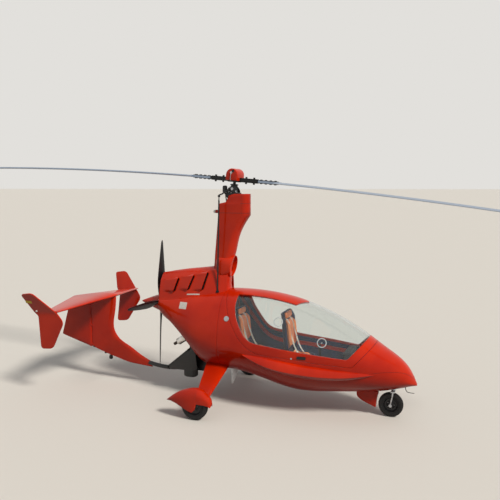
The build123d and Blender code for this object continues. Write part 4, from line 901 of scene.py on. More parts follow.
def strakeShell():
    # upper flank slightly hollow, round edge, lower flank full, closed by an arc just inside the hull's skin
    x = np.linspace(strake["rows"][0, 0], strake["rows"][-1, 0], 72)
    reach, high, low = splineThrough(strake["rows"][:, 0], strake["rows"][:, 1:], x).T
    outer = sectionAt(x)[:, 0] + np.maximum(reach, 0.002)
    tHigh, tLow = sideToSkin(np.stack([x, high], axis=-1))[:, 1], sideToSkin(np.stack([x, low], axis=-1))[:, 1]
    inside = hullPoint(x[:, None], tLow[:, None] + (tHigh - tLow)[:, None] * np.linspace(0, 1, 8), strake["sink"])
    inner = inside[:, -1, 1]
    edge = low + (high - low) * 0.45
    s = np.linspace(0, 1, 12)[None, :]
    top = np.stack([inner[:, None] + (outer - inner)[:, None] * s ** 0.9 - 0.012 * np.sin(pi * s),
                    high[:, None] + (edge - high)[:, None] * (0.22 * s + 0.78 * s ** 4)], axis=-1)
    under = np.stack([outer[:, None] + (inside[:, 0, 1] - outer)[:, None] * s,
                      edge[:, None] + (low - edge)[:, None] * np.sin(s * pi / 2) ** 0.85], axis=-1)
    ring = np.concatenate([top, under[:, 1:], inside[:, 1:-1, 1:]], axis=1)
    grid = np.concatenate([np.broadcast_to(x[:, None, None], ring.shape[:2] + (1,)), ring], axis=-1)
    return closedLoft(grid)


for word, side in bothSides:
    makePiece("strake%sSkin" % word, [onSide(strakeShell(), side)], "redPolyurethaneEnamel",
              ("strake_" + word.lower(),), angle=50)


# Tail surfaces
def foilRing(lead, trail, normal, thickness, tailThick=0.12, noseRun=0.28, columns=25):
    # half thickness grows as a quarter ellipse over the nose's share of the chord, then falls off to the tail's share
    s = (1 - np.cos(np.linspace(0, pi, columns))) / 2
    nose = np.sqrt(np.clip(1 - (1 - np.clip(s / noseRun, 0, 1)) ** 2, 0, 1))
    fall = np.clip((s - noseRun) / (1 - noseRun), 0, 1)
    half = thickness / 2 * (nose - (1 - tailThick) * fall ** 1.6 * nose)
    lead, trail, normal = (np.asarray(v, float) for v in (lead, trail, normal))
    middle = lead + s[:, None] * (trail - lead)
    upper, lower = middle + half[:, None] * normal, middle - half[:, None] * normal
    return np.concatenate([upper, lower[::-1]])


tail = {
    # side view points (x, z) of the leading edges, (z, x) of the trailing edges
    "finLead": [(-1.240, 0.334), (-1.440, 0.430), (-1.600, 0.528), (-1.750, 0.612), (-1.850, 0.760), (-1.830, 1.000),
                (-1.806, 1.225)],
    "finTrail": [(0.262, -1.240), (0.296, -1.604), (0.380, -1.932), (0.470, -2.208), (1.215, -2.208)],
    "finThick": 0.044, "rudderThick": 0.036, "rudderLead": -2.222, "rudderZ": (0.470, 1.090),
    "rudderTrail": [(0.470, -2.262), (0.608, -2.740), (1.080, -2.600), (1.090, -2.585)],
    # leading and trailing x and z, thickness, at the root and at the tip; half span
    "stabRoot": (-1.800, 1.238, -2.510, 1.190, 0.084), "stabTip": (-2.035, 1.168, -2.260, 1.150, 0.026),
    "stabHalf": 0.972,
}


def finShell():
    z = np.concatenate([np.linspace(0.264, 0.48, 26), np.linspace(0.50, 1.215, 40)])
    edge = smoothRun(tail["finLead"], 0.01)
    lead = np.interp(z, edge[:, 1], edge[:, 0])
    trail = np.interp(z, *np.array(tail["finTrail"]).T)
    rings = []
    for h, a, chord in zip(z, lead, np.maximum(lead - trail, 0.004)):
        rings.append(foilRing((a, 0, h), (a - chord, 0, h), (0, 1, 0), min(tail["finThick"], 0.22 * chord), 0.55,
                              min(0.5, 0.09 / chord)))
    return closedLoft(rings)


def rudderShell():
    z = np.linspace(*tail["rudderZ"], 40)
    lead, trail = tail["rudderLead"], np.interp(z, *np.array(tail["rudderTrail"]).T)
    return closedLoft([foilRing((lead, 0, h), (b, 0, h), (0, 1, 0), tail["rudderThick"], 0.14,
                                min(0.5, 0.03 / (lead - b))) for h, b in zip(z, trail)])


makePiece("finSkin", [finShell()], "redPolyurethaneEnamel", ("fin",), bevel=0.002)
makePiece("rudderSkin", [rudderShell()], "redPolyurethaneEnamel", ("rudder",), body="rudder", bevel=0.002)


def stabiliserShell():
    # root and tip sections joined by straight lines along the span
    root, tip = np.array(tail["stabRoot"]), np.array(tail["stabTip"])
    rings = []
    for y in np.linspace(-tail["stabHalf"], tail["stabHalf"], 41):
        leadX, leadZ, trailX, trailZ, thick = root + (tip - root) * abs(y) / 0.971
        rings.append(foilRing((leadX, y, leadZ), (trailX, y, trailZ), (0, 0, 1), thick, 0.06))
    return closedLoft(rings)


makePiece("stabiliserSkin", [stabiliserShell()], "redPolyurethaneEnamel", ("stabiliser",))
plateLook = {
    "y": 0.965, "kink": 1.145, "low": 7.5, "high": 27.5, "thick": 0.014,
    "outline": [(-2.061, 1.150), (-1.975, 1.030), (-2.192, 0.662), (-2.377, 0.646), (-2.355, 1.100),
                (-2.410, 1.140), (-2.514, 1.390), (-2.332, 1.416)],
}


def plateLoop():
    # side outline with rounded corners, stretched to the flat length of each leaning panel
    loop = roundLoop(plateLook["outline"], [0.03, 0.06, 0.05, 0.05, 0.05, 0.04, 0.04, 0.05])
    lean = np.radians(np.where(loop[:, 1] > plateLook["kink"], plateLook["high"], plateLook["low"]))
    loop[:, 1] = plateLook["kink"] + (loop[:, 1] - plateLook["kink"]) / np.cos(lean)
    return loop


def plateSurface(x, v):
    # bent about the kink: the lean changes smoothly over 30 mm, outwards above and inwards below
    rise = v - plateLook["kink"]
    low, high = math.radians(plateLook["low"]), math.radians(plateLook["high"])
    soft = np.sqrt(rise ** 2 + 0.015 ** 2)
    share = 0.5 * (rise + soft)
    fall = rise - share
    y = plateLook["y"] + math.sin(high) * share + math.sin(low) * fall
    return np.stack([x, y, plateLook["kink"] + math.cos(high) * share + math.cos(low) * fall], axis=-1)


for word, side in bothSides:
    flat, triangles = trimmedFlat(plateLoop(), 0.02)
    makePiece("endPlate%sSkin" % word, [(plateSurface(flat[:, 0], flat[:, 1]) * [1, side, 1], [triangles])],
              "redPolyurethaneEnamel", ("end_plate_" + word.lower(),), wall=plateLook["thick"], offset=0.0,
              bevel=0.005, segments=3, limit=57.3)
print("tail made")


# Landing gear
gear = {
    "x": -0.148, "y": 0.920, "radius": 0.163, "width": 0.092,
    # front and rear x, y, height of the front and rear edge, thickness
    "legRoot": (0.022, -0.306, 0.200, 0.506, 0.514, 0.056), "legFoot": (0.012, -0.162, 0.850, 0.270, 0.276, 0.030),
    # side view of the wheel fairing: its top, its lower edge and its half width, each by x
    "spatTop": [(-0.524, 0.201), (-0.460, 0.252), (-0.388, 0.303), (-0.271, 0.358), (-0.169, 0.384), (-0.085, 0.380),
                (-0.010, 0.338), (0.042, 0.289), (0.066, 0.250), (0.074, 0.215)],
    "spatLow": [(-0.524, 0.197), (-0.450, 0.204), (-0.374, 0.188), (-0.300, 0.158), (-0.225, 0.124), (-0.160, 0.104),
                (-0.112, 0.150), (-0.100, 0.213), (-0.010, 0.206), (0.040, 0.192), (0.062, 0.172), (0.074, 0.200)],
    "spatHalf": [(-0.524, 0.003), (-0.460, 0.034), (-0.340, 0.066), (-0.200, 0.082), (-0.060, 0.078), (0.030, 0.056),
                 (0.062, 0.034), (0.074, 0.012)],
    # nose wheel: x, radius, width
    "nose": (2.022, 0.148, 0.084),
}


def legShell():
    rings = []
    for front, rear, y, zFront, zRear, thick in np.linspace(gear["legRoot"], gear["legFoot"], 20):
        rings.append(foilRing((front, y, zFront), (rear, y, zRear), (0, 0.36, 0.93), thick, 0.18, 0.30))
    return closedLoft(rings)


for word, side in bothSides:
    makePiece("gearLeg%sSkin" % word, [onSide(legShell(), side)], "redPolyurethaneEnamel",
              ("gear_leg_" + word.lower(),))


def spatShell(side):
    # x stations; each section runs from the outer lower edge up over the top to the inner lower edge
    x = -0.225 - 0.299 * np.cos(np.linspace(0, pi, 90))
    top = splineThrough(*np.array(gear["spatTop"]).T, x)
    low = np.interp(x, *np.array(gear["spatLow"]).T)
    half = splineThrough(*np.array(gear["spatHalf"]).T, x)
    top, half = np.maximum(top, low + 0.003), np.maximum(half, 0.002)
    shoulder = low + (top - low) * 0.42
    straight = np.linspace(0, 1, 9)[None, :-1]
    turn = np.linspace(0, pi, 29)[None, :]
    zSide = low[:, None] + (shoulder - low)[:, None] * straight
    ySide = half[:, None] * (0.93 + 0.07 * np.sin(straight * pi / 2))
    yTop = half[:, None] * signedPower(np.cos(turn), 0.86)
    zTop = shoulder[:, None] + (top - shoulder)[:, None] * np.sin(turn) ** 0.86
    y = np.concatenate([ySide, yTop, -ySide[:, ::-1]], axis=1)
    z = np.concatenate([zSide, zTop, zSide[:, ::-1]], axis=1)
    grid = np.stack([np.broadcast_to(x[:, None], y.shape), side * (gear["y"] + y), z], axis=-1)
    return openSheet(grid)


for word, side in bothSides:
    makePiece("spat%sSkin" % word, [spatShell(side)], "redPolyurethaneEnamel", ("spat_" + word.lower(),),
              wall=0.004, bevel=0.001, angle=45)
print("gear made")


# Bolts and other small turned parts
def boltShells(place, axis, size=0.008, height=0.006, washer=True):
    # hexagon head on a round washer, with a domed end
    shells = [lathe([(0, 0), (0, size), (height * 0.8, size), (height, size * 0.8), (height, 0)], place, axis, 6)]
    if washer:
        wide = size * 1.35
        shells.append(lathe([(-0.001, 0), (-0.001, wide), (0.0012, wide), (0.0012, 0)], place, axis, 16))
    return shells


# Rotor: everything that turns is laid out in the hub's own frame, u along the front blade, w along the axis
rotor = {
    "hub": (0, 0, 2.850), "tilt": 4.85, "azimuth": -5.5, "radius": 4.375, "chord": 0.220, "thick": 0.028,
    "droop": 60.2, "root": 0.345, "bladeStart": 0.606, "barHalf": 0.600, "coreHalf": 0.335,
}
hubFrame = turnAbout((0, 1, 0), rotor["tilt"])
spinFrame = hubFrame @ turnAbout((0, 0, 1), rotor["azimuth"])
spinAxis = hubFrame[:, 2]


def onHub(shell, turn=0.0):
    return placed(shell, spinFrame @ turnAbout((0, 0, 1), turn), rotor["hub"])


# Extruded alloy blade: pale blue grey anodising with fine lines along the span
def bladeMaterial():
    tree, here = newMaterial("anodisedBladeExtrusion")
    stretch = addNode(tree, "ShaderNodeMapping", {}, here)
    stretch.inputs["Scale"].default_value = (1.0, 60.0, 60.0)
    streak = addNode(tree, "ShaderNodeTexNoise", {"Scale": 6.0, "Detail": 4.0}, {"Vector": stretch.outputs["Vector"]})
    tone = setRamp(addNode(tree, "ShaderNodeValToRGB", {}, {"Fac": streak.outputs["Fac"]}),
                   [(0.3, "#8FA0B8"), (0.7, "#A9B8CC")])
    rough = addNode(tree, "ShaderNodeMapRange", {"To Min": 0.30, "To Max": 0.44}, {"Value": streak.outputs["Fac"]})
    finishMaterial(tree, {"Metallic": 0.55}, {"Base Color": tone.outputs["Color"],
                                                      "Roughness": rough.outputs["Result"]})


bladeMaterial()


def bladeShells():
    # sections along the span; the parked blade sags by r^2 / 2R, and the tip corners are rounded
    r = np.concatenate([np.linspace(rotor["bladeStart"], 0.70, 4), np.linspace(0.80, 4.25, 32),
                        np.linspace(4.29, rotor["radius"] - 0.001, 7)])
    drop = -r ** 2 / (2 * rotor["droop"])
    fade = np.sqrt(np.clip(1 - (np.clip(r - 4.325, 0, 1) / 0.051) ** 2, 0.02, 1))
    rings = []
    for radius, low, share in zip(r, drop, fade):
        lead = 0.25 * rotor["chord"] * (0.35 + 0.65 * share)
        trail = -0.75 * rotor["chord"] * (0.82 + 0.18 * share)
        rings.append(foilRing((radius, lead, low + 0.002), (radius, trail, low), (0, 0, 1),
                              rotor["thick"] * (0.5 + 0.5 * share), 0.05, 0.30, 19))
    root = boxShell((rotor["root"], -0.032, -0.0135), (0.640, 0.032, 0.0135))
    return closedLoft(rings), root


for word, turn in (("Front", 0.0), ("Rear", 180.0)):
    skin, root = bladeShells()
    makePiece("rotorBlade%sSkin" % word, [onHub(skin, turn), onHub(root, turn)], "anodisedBladeExtrusion",
              ("rotor_blade_" + word.lower(),), body="rotor", angle=50)

hubBlocks = [boxShell((-0.075, -0.048, -0.032), (0.075, 0.048, 0.032)),
             boxShell((-rotor["coreHalf"], -0.032, -0.0135), (rotor["coreHalf"], 0.032, 0.0135))]
for side in (-1, 1):
    hubBlocks += [boxShell((-rotor["barHalf"], -0.031, side * 0.0142), (rotor["barHalf"], 0.031, side * 0.0205)),
                  boxShell((-0.325, -0.032, side * 0.0205), (0.325, 0.032, side * 0.0270))]
makePiece("rotorHubBar", [onHub(s) for s in hubBlocks], "blackAnodisedAluminium", ("rotor_hub",), body="rotor",
          bevel=0.0018)
hubBolts = []
for end in (-1, 1):
    for up in (-1, 1):
        for u in (0.165, 0.275):
            hubBolts += boltShells((end * u, 0, up * 0.027), (0, 0, up), 0.013, 0.018)
        for u in (0.375, 0.440, 0.505, 0.570):
            for v in (-0.017, 0.017):
                hubBolts += boltShells((end * u, v, up * 0.0205), (0, 0, up), 0.0075, 0.008)
makePiece("rotorHubBolts", [onHub(s) for s in hubBolts], "satinBlackPowderCoatSteel", body="rotor")

cap = {"half": 0.083, "height": 0.150, "length": 0.200, "base": -0.012, "round": 0.012}


def capShell():
    # D outline: flat foot, straight sides and a half round; rows across the blades pull in towards each face
    a = np.linspace(0, pi, 33)
    arc = np.stack([cap["half"] * np.cos(a), cap["height"] - cap["half"] + cap["half"] * np.sin(a)], axis=-1)
    sides = np.linspace(0, cap["height"] - cap["half"], 5)[:-1]
    right = np.stack([np.full(4, cap["half"]), sides], axis=-1)
    loop = np.concatenate([right, arc, right[::-1] * [-1, 1]])
    middle = np.array([0, 0.06])
    edge = np.linspace(0, pi / 2, 7)
    v = cap["length"] / 2 - cap["round"] + cap["round"] * np.cos(edge)
    pull = cap["round"] * (1 - np.sin(edge))
    v, pull = np.concatenate([v, -v[::-1]]), np.concatenate([pull, pull[::-1]])
    flat = loop[None] - pull[:, None, None] * unit(loop - middle)[None]
    flat[..., 1] = np.maximum(flat[..., 1], 0)
    grid = np.stack([flat[..., 0], np.broadcast_to(v[:, None], flat.shape[:2]), flat[..., 1] + cap["base"]], axis=-1)
    return closedLoft(grid)


makePiece("rotorCapShell", [onHub(capShell())], "redPolyurethaneEnamel", ("rotor_cap",), body="rotor", angle=50)
capFace = -cap["length"] / 2
# a black disc set into the cap's face, painted as the shade inside its hole
hole = lathe([(0.002, 0), (0.002, 0.017), (-0.0006, 0.0185), (-0.003, 0.0185), (-0.003, 0)], (0.018, capFace, 0.108),
             (0, 1, 0), 32)
makePiece("rotorCapHoleShade", [onHub(hole), onHub(hole, 180)], "rubberHose", body="rotor")
stay = tube([(-0.006, capFace - 0.007, 0.085), (-0.007, capFace - 0.008, 0.05), (-0.010, capFace - 0.006, 0.0),
             (-0.012, capFace + 0.03, -0.03)], 0.0035, 12, (1, 0, 0))
makePiece("rotorCapStay", [onHub(stay)] + [onHub(s) for s in boltShells((-0.006, capFace - 0.001, 0.086), (0, -1,
          0), 0.012, 0.008)], "machinedAluminium", body="rotor")

# Rotor head on the mast: base plate, two cheeks, cross bolts, bearing block and the levers for the push rods
head = {"top": 2.668, "rodTop": (-0.151, 0.160, 2.640), "rodFoot": (-0.179, 0.160, 1.418)}
cheek = roundLoop([(-0.086, 2.682), (0.060, 2.682), (0.052, 2.722), (0.022, 2.762), (-0.052, 2.762), (-0.078, 2.735)],
                  0.012, 5)
wedge = [(-0.120, 2.676), (-0.120, 2.668), (-0.0815, 2.614), (-0.0695, 2.645), (0.006, 2.6685), (0.006, 2.676)]
plateTop = head["top"] + 0.014
headShells = [sidePlate(wedge, -0.056, 0.112), boxShell((-0.118, -0.058, head["top"]), (0.068, 0.058, plateTop)),
              boxShell((-0.058, -0.036, 2.706), (0.020, 0.036, 2.754)),
              boxShell((-0.100, -0.050, plateTop), (-0.060, 0.050, 2.715)), sidePlate(cheek, -0.049, 0.012),
              sidePlate(cheek, 0.037, 0.012)]
bearing = lathe([(-0.101, 0), (-0.101, 0.040), (-0.098, 0.044), (-0.072, 0.044), (-0.070, 0.054), (-0.062, 0.054),
                 (-0.060, 0.040), (-0.056, 0.034), (-0.053, 0.0)], rotor["hub"], spinAxis, 48)
shaft = lathe([(-0.080, 0), (-0.080, 0.019), (-0.026, 0.019), (-0.026, 0)], rotor["hub"], spinAxis, 32)
makePiece("rotorHeadPlates", headShells, "satinBlackPowderCoatSteel", ("rotor_head",), bevel=0.0016)
driveMotor = lathe([(0, 0), (0, 0.031), (0.070, 0.031), (0.084, 0.022), (0.088, 0)], (-0.131, -0.012, 2.688),
                   (0, 0, 1), 32)
driveCable = tube(smoothRun([(-0.126, -0.012, 2.700), (-0.121, -0.010, 2.640), (-0.112, -0.004, 2.560)], 0.01),
                  0.0075, 16, (0, 1, 0))
makePiece("rotorDriveMotor", [driveMotor, driveCable], "satinBlackPowderCoatSteel", angle=35)
makePiece("rotorHeadBearing", [bearing, shaft], "blackAnodisedAluminium", angle=35)
headBolts = []
for side in (-1, 1):
    for x, z, size in ((-0.018, 2.732, 0.013), (0.036, 2.700, 0.008), (-0.066, 2.698, 0.008), (-0.048, 2.748, 0.006)):
        headBolts += boltShells((x, side * 0.049, z), (0, side, 0), size, 0.009)
    for x in (-0.105, -0.030, 0.050):
        headBolts += boltShells((x, side * 0.053, plateTop), (0, 0, 1), 0.006, 0.006)
ringBolts = [boltShells((0.047 * math.cos(a), 0.047 * math.sin(a), -0.062), (0, 0, 1), 0.0045, 0.004, False)
             for a in np.arange(8) * pi / 4]
headBolts += [placed(s, hubFrame, rotor["hub"]) for group in ringBolts for s in group]
makePiece("rotorHeadBolts", headBolts, "machinedAluminium")
leverShells, rodShells, eyeShells = [], [], []
eyeProfile = [(-0.015, 0), (-0.013, 0.009), (-0.006, 0.0155), (0, 0.017), (0.006, 0.0155), (0.013, 0.009), (0.015, 0)]
footProfile = [(0, 0), (0, 0.020), (0.010, 0.022), (0.020, 0.018), (0.030, 0.011), (0.045, 0.010), (0.047, 0)]
for side in (-1, 1):
    topX, topY, topZ = head["rodTop"]
    top, foot = np.array(head["rodTop"]) * [1, side, 1], np.array(head["rodFoot"]) * [1, side, 1]
    leverShells.append(tube([(-0.050, side * 0.044, 2.735), (-0.085, side * 0.090, 2.700),
                             (-0.120, side * 0.130, 2.668), (topX, side * topY, topZ + 0.012)],
                            [0.012, 0.0105, 0.0095, 0.009], 16))
    leverShells.append(tube([(topX, side * (topY + out), topZ + 0.004) for out in (-0.016, 0.016)], 0.006, 16))
    eyeShells.append(lathe(eyeProfile, top, (0, 1, 0), 24))
    aim = unit(foot - top)
    rodShells.append(tube([top + aim * d for d in (0.012, 0.045, 0.046, 0.060, 0.061)]
                          + [foot - aim * d for d in (0.030, 0.029, 0)],
                          [0.006, 0.006, 0.0085, 0.0085, 0.0095, 0.0095, 0.0075, 0.0075], 20, (1, 0, 0)))
    eyeShells.append(lathe(footProfile, foot + np.array([0, 0, -0.012]), -aim, 24))
makePiece("headLevers", leverShells, "satinBlackPowderCoatSteel")
makePiece("pushRods", rodShells, "satinBlackPowderCoatSteel", ("control_rods",))
makePiece("pushRodEnds", eyeShells, "blackAnodisedAluminium")
print("rotor made")


# Propeller and spinner
prop = {
    "x": -1.090, "z": 1.190, "park": -3.5, "blades": 4,
    # radius, chord, thickness, pitch in degrees
    "sections": np.array([(0.070, 0.062, 0.036, 42.0), (0.160, 0.094, 0.030, 36.0), (0.260, 0.118, 0.024, 30.0),
                          (0.400, 0.112, 0.019, 25.0), (0.560, 0.088, 0.014, 20.0), (0.720, 0.058, 0.010, 16.0),
                          (0.850, 0.030, 0.006, 13.0)]),
    # spinner: x where the cone starts, its length and radius, and the share of it that is a straight cone
    "coneX": -1.077, "coneLong": 0.313, "coneRadius": 0.120, "straight": 0.86,
}


def propBladeShell():
    # sections turned to their pitch along the radius; the tip chord falls as a quarter ellipse
    r = np.concatenate([np.linspace(0.070, 0.80, 34), 0.80 + 0.0495 * np.sin(np.linspace(0.1, pi / 2, 8))])
    chord, thick, pitch = splineThrough(prop["sections"][:, 0], prop["sections"][:, 1:], r).T
    fade = np.sqrt(np.clip(1 - (np.clip(r - 0.80, 0, 1) / 0.05) ** 2, 0.012, 1))
    rings = []
    for radius, c, t, p, f in zip(r, chord, thick, np.radians(pitch), fade):
        along = np.array([math.sin(p), math.cos(p), 0])
        normal = np.array([math.cos(p), -math.sin(p), 0])
        centre = np.array([0, 0, radius])
        lead, trail = centre + along * c * (0.5 - 0.35 * (1 - f)), centre - along * c * (0.5 - 0.65 * (1 - f))
        rings.append(foilRing(lead, trail, normal, t * (0.4 + 0.6 * f), 0.10, 0.30, 15))
    return closedLoft(rings)


propPlace = (prop["x"], 0, prop["z"])
propShells = [lathe([(-0.025, 0), (-0.025, 0.090), (-0.020, 0.095), (0.020, 0.095), (0.025, 0.090), (0.025, 0)],
                    propPlace, (1, 0, 0), 64)]
for k in range(prop["blades"]):
    turn = turnAbout((1, 0, 0), prop["park"] + k * 360 / prop["blades"])
    propShells.append(placed(propBladeShell(), turn, propPlace))
makePiece("propellerBlades", propShells, "carbonPrepregSatin", ("propeller",), body="propeller", angle=45)
# a nearly straight cone with a small round tip: radius = r0 (k (1 - s) + (1 - k) sqrt(1 - s^2))
s = np.linspace(0.04, 1, 40)
spinnerRun = np.stack([prop["coneX"] - prop["coneLong"] * s, prop["coneRadius"] * (
    prop["straight"] * (1 - s) + (1 - prop["straight"]) * np.sqrt(1 - s ** 2))], axis=-1)
spinnerProfile = [(-1.0665, 0.0), (-1.0665, 0.110), (-1.0655, 0.117), (-1.067, 0.1195), (-1.074, 0.120),
                  (-1.0745, 0.1185), (-1.0765, 0.1185), (-1.077, 0.1198), *spinnerRun]
makePiece("spinnerShell", [lathe(spinnerProfile, (0, 0, prop["z"]), (1, 0, 0), 72)], "redPolyurethaneEnamel",
          ("spinner",), body="propeller", angle=35)
screws = []
for k in range(8):
    angle = math.radians(prop["park"] + 22.5 + 45 * k)
    out = np.array([0, math.cos(angle), math.sin(angle)])
    screws += boltShells(np.array([-1.0705, 0, prop["z"]]) + out * 0.1195, out, 0.0032, 0.0012, False)
makePiece("spinnerScrews", screws, "machinedAluminium", body="propeller")
print("propeller made")


# Wheels: tread ribs and cross cuts on the tyres, dished wheels with a hub
def rubberMaterial():
    # moulded tyre rubber: nearly black, with paler dusty patches at random
    tree, here = newMaterial("mouldedTyreRubber")
    patchTone = addNode(tree, "ShaderNodeTexNoise", {"Scale": 45.0, "Detail": 8.0, "Roughness": 0.7}, here)
    tone = setRamp(addNode(tree, "ShaderNodeValToRGB", {}, {"Fac": patchTone.outputs["Fac"]}),
                   [(0.35, "#121213"), (0.60, "#1C1B1B"), (0.80, "#37332F")])
    rough = addNode(tree, "ShaderNodeMapRange", {"To Min": 0.62, "To Max": 0.86}, {"Value": patchTone.outputs["Fac"]})
    grain = addNode(tree, "ShaderNodeTexNoise", {"Scale": 500.0, "Detail": 2.0}, here)
    relief = addNode(tree, "ShaderNodeBump", {"Strength": 0.2, "Distance": 0.0006}, {"Height": grain.outputs["Fac"]})
    finishMaterial(tree, {"IOR": 1.52}, {"Base Color": tone.outputs["Color"], "Roughness": rough.outputs["Result"],
                                         "Normal": relief.outputs["Normal"]})


rubberMaterial()


def tyreShell(place, radius, width, cuts):
    # profile from bead to bead; two ribs' grooves on the crown, and cuts round the shoulders
    rim = radius - 0.055
    half = width / 2
    side = np.array([(rim - 0.002, half * 0.70), (rim + 0.003, half * 0.78), (rim + 0.007, half * 0.80),
                     (rim + 0.010, half * 0.86), (rim + 0.018, half * 0.95), (rim + 0.027, half * 0.995),
                     (rim + 0.034, half * 0.998), (radius - 0.017, half * 0.965), (radius - 0.011, half * 0.90),
                     (radius - 0.007, half * 0.82), (radius - 0.0045, half * 0.72), (radius - 0.003, half * 0.62),
                     (radius - 0.0022, half * 0.53)])
    groove = np.array([(radius - 0.0018, half * 0.50), (radius - 0.0060, half * 0.47), (radius - 0.0060, half * 0.39),
                       (radius - 0.0012, half * 0.36), (radius - 0.0004, half * 0.20), (radius - 0.0002, half * 0.08),
                       (radius - 0.0045, half * 0.06)])
    right = np.concatenate([side, groove])
    profile = np.concatenate([right, right[::-1] * [1, -1]])
    shoulder = np.abs(profile[:, 1]) / half
    isCut = (shoulder > 0.52) & (shoulder < 0.97)
    turns = cuts * 6
    angle = np.arange(turns) * 2 * pi / turns
    phase = (np.arange(turns) % 6)[None, :]
    depth = np.where(isCut[:, None] & (phase >= 4), 0.0032, 0.0)
    r = profile[:, 0][:, None] - depth
    grid = np.stack([place[0] + r * np.cos(angle), place[1] + np.broadcast_to(profile[:, 1][:, None], r.shape),
                     place[2] + r * np.sin(angle)], axis=-1)
    inner = np.stack([place[0] + (rim - 0.004) * np.cos(angle), np.full(turns, place[1]),
                      place[2] + (rim - 0.004) * np.sin(angle)], axis=-1)[None]
    grid = np.concatenate([grid, inner])
    return grid.reshape(-1, 3), [gridFaces(len(grid), turns, closeRows=True, closeColumns=True)]


def wheelShell(place, radius, width, side):
    # lathe profile from the bead seat over the lip and dish to the hub, the same on both sides
    rim, half = radius - 0.055, width * 0.36
    run = [(half * 0.55, rim - 0.012), (half * 0.75, rim - 0.010), (half + 0.002, rim - 0.001),
           (half + 0.0045, rim + 0.001), (half + 0.0045, rim - 0.004), (half - 0.001, rim - 0.009),
           (half - 0.012, rim - 0.014), (half - 0.020, rim - 0.022), (half - 0.021, 0.052), (half - 0.016, 0.044),
           (half - 0.005, 0.034), (half - 0.001, 0.030), (half, 0.026), (half, 0.0135)]
    return lathe([(-a, r) for a, r in run[::-1]] + run, place, (0, side, 0), 72)


# piece name, wheel centre, radius, width, body, tread cuts, side, replaced nodes
wheels = [("nose", (gear["nose"][0], 0, gear["nose"][1]), gear["nose"][1], gear["nose"][2], "nose_wheel", 34, -1,
           "nose_tyre", "nose_rim")]
wheels += [("main" + word, (gear["x"], side * gear["y"], gear["radius"]), gear["radius"], gear["width"],
            "main_wheel_" + word.lower(), 38, side, "main_tyre_" + word.lower(), "main_rim_" + word.lower())
           for word, side in bothSides]
for word, place, radius, width, body, cuts, side, tyreNode, rimNode in wheels:
    makePiece(word + "Tyre", [tyreShell(place, radius, width, cuts)], "mouldedTyreRubber", (tyreNode,), body=body,
              angle=30)
    makePiece(word + "Wheel", [wheelShell(place, radius, width, side)], "satinBlackPowderCoatSteel", (rimNode,),
              body=body, angle=30)
    nuts = []
    for end in (-1, 1):
        for a in np.arange(5) * 2 * pi / 5:
            nuts += boltShells((place[0] + 0.040 * math.cos(a), place[1] + end * (width * 0.36 - 0.016),
                                place[2] + 0.040 * math.sin(a)), (0, end, 0), 0.0048, 0.005, False)
    makePiece(word + "WheelNuts", nuts, "machinedAluminium", body=body)
tailTyre = lathe([(-0.013, 0.0055), (-0.013, 0.012), (-0.012, 0.014), (-0.012, 0.022), (-0.010, 0.027),
                  (-0.006, 0.0296), (0, 0.030), (0.006, 0.0296), (0.010, 0.027), (0.012, 0.022), (0.012, 0.014),
                  (0.013, 0.012), (0.013, 0.0055)], (-1.914, 0, 0.336), (0, 1, 0), 48)
makePiece("tailWheelTyre", [tailTyre], "mouldedTyreRubber", ("tail_wheel",), body="tail_wheel", angle=35)

# Nose fork: two polished arms, a crown block and the hollow axle
forkX, forkZ = gear["nose"][0], gear["nose"][1]
steerX, crownZ = 2.048, 2 * gear["nose"][1] + 0.014
forkShells, nutShells = [], []
for side in (-1, 1):
    y = side * 0.060
    forkShells.append(tube([(steerX, y, crownZ + 0.004), (steerX - 0.004, y, 0.270), (forkX + 0.006, y, 0.185),
                            (forkX, y, forkZ)], [0.0105, 0.0100, 0.0090, 0.0090], 20, (0, 1, 0)))
    forkShells.append(lathe([(-0.009, 0), (-0.009, 0.018), (-0.007, 0.020), (0.007, 0.020), (0.009, 0.018),
                             (0.009, 0)], (forkX, y, forkZ), (0, 1, 0), 32))
    nutShells += [lathe([(0.009, 0.0062), (0.009, 0.015), (0.014, 0.015), (0.0155, 0.0125), (0.0155, 0.0062)],
                        (forkX, y, forkZ), (0, side, 0), 6)]
forkShells.append(boxShell((steerX - 0.024, -0.072, crownZ), (steerX + 0.024, 0.072, crownZ + 0.016)))
forkShells.append(lathe([(0, 0), (0, 0.020), (0.112, 0.020), (0.112, 0)], (steerX, 0, crownZ), (0, 0, 1), 32))
forkShells.append(lathe([(-0.072, 0.006), (-0.072, 0.0125), (0.072, 0.0125), (0.072, 0.006)], (forkX, 0, forkZ),
                        (0, 1, 0), 32))
makePiece("noseForkArms", forkShells, "machinedAluminium", ("nose_fork",), body="nose_gear", bevel=0.0012, angle=40)
makePiece("noseAxleNuts", nutShells, "machinedAluminium", body="nose_gear", angle=30)
guardLoop = roundLoop([(1.610, 0.300), (1.616, 0.212), (1.680, 0.165), (1.848, 0.098), (1.852, 0.180),
                       (1.880, 0.300)], [0.01, 0.03, 0.08, 0.012, 0.05, 0.01], 8)
makePiece("noseMudguardShell", [sidePlate(guardLoop, -0.044, 0.088)], "redPolyurethaneEnamel", ("nose_mudguard",),
          bevel=0.014, segments=4)
print("wheels made")


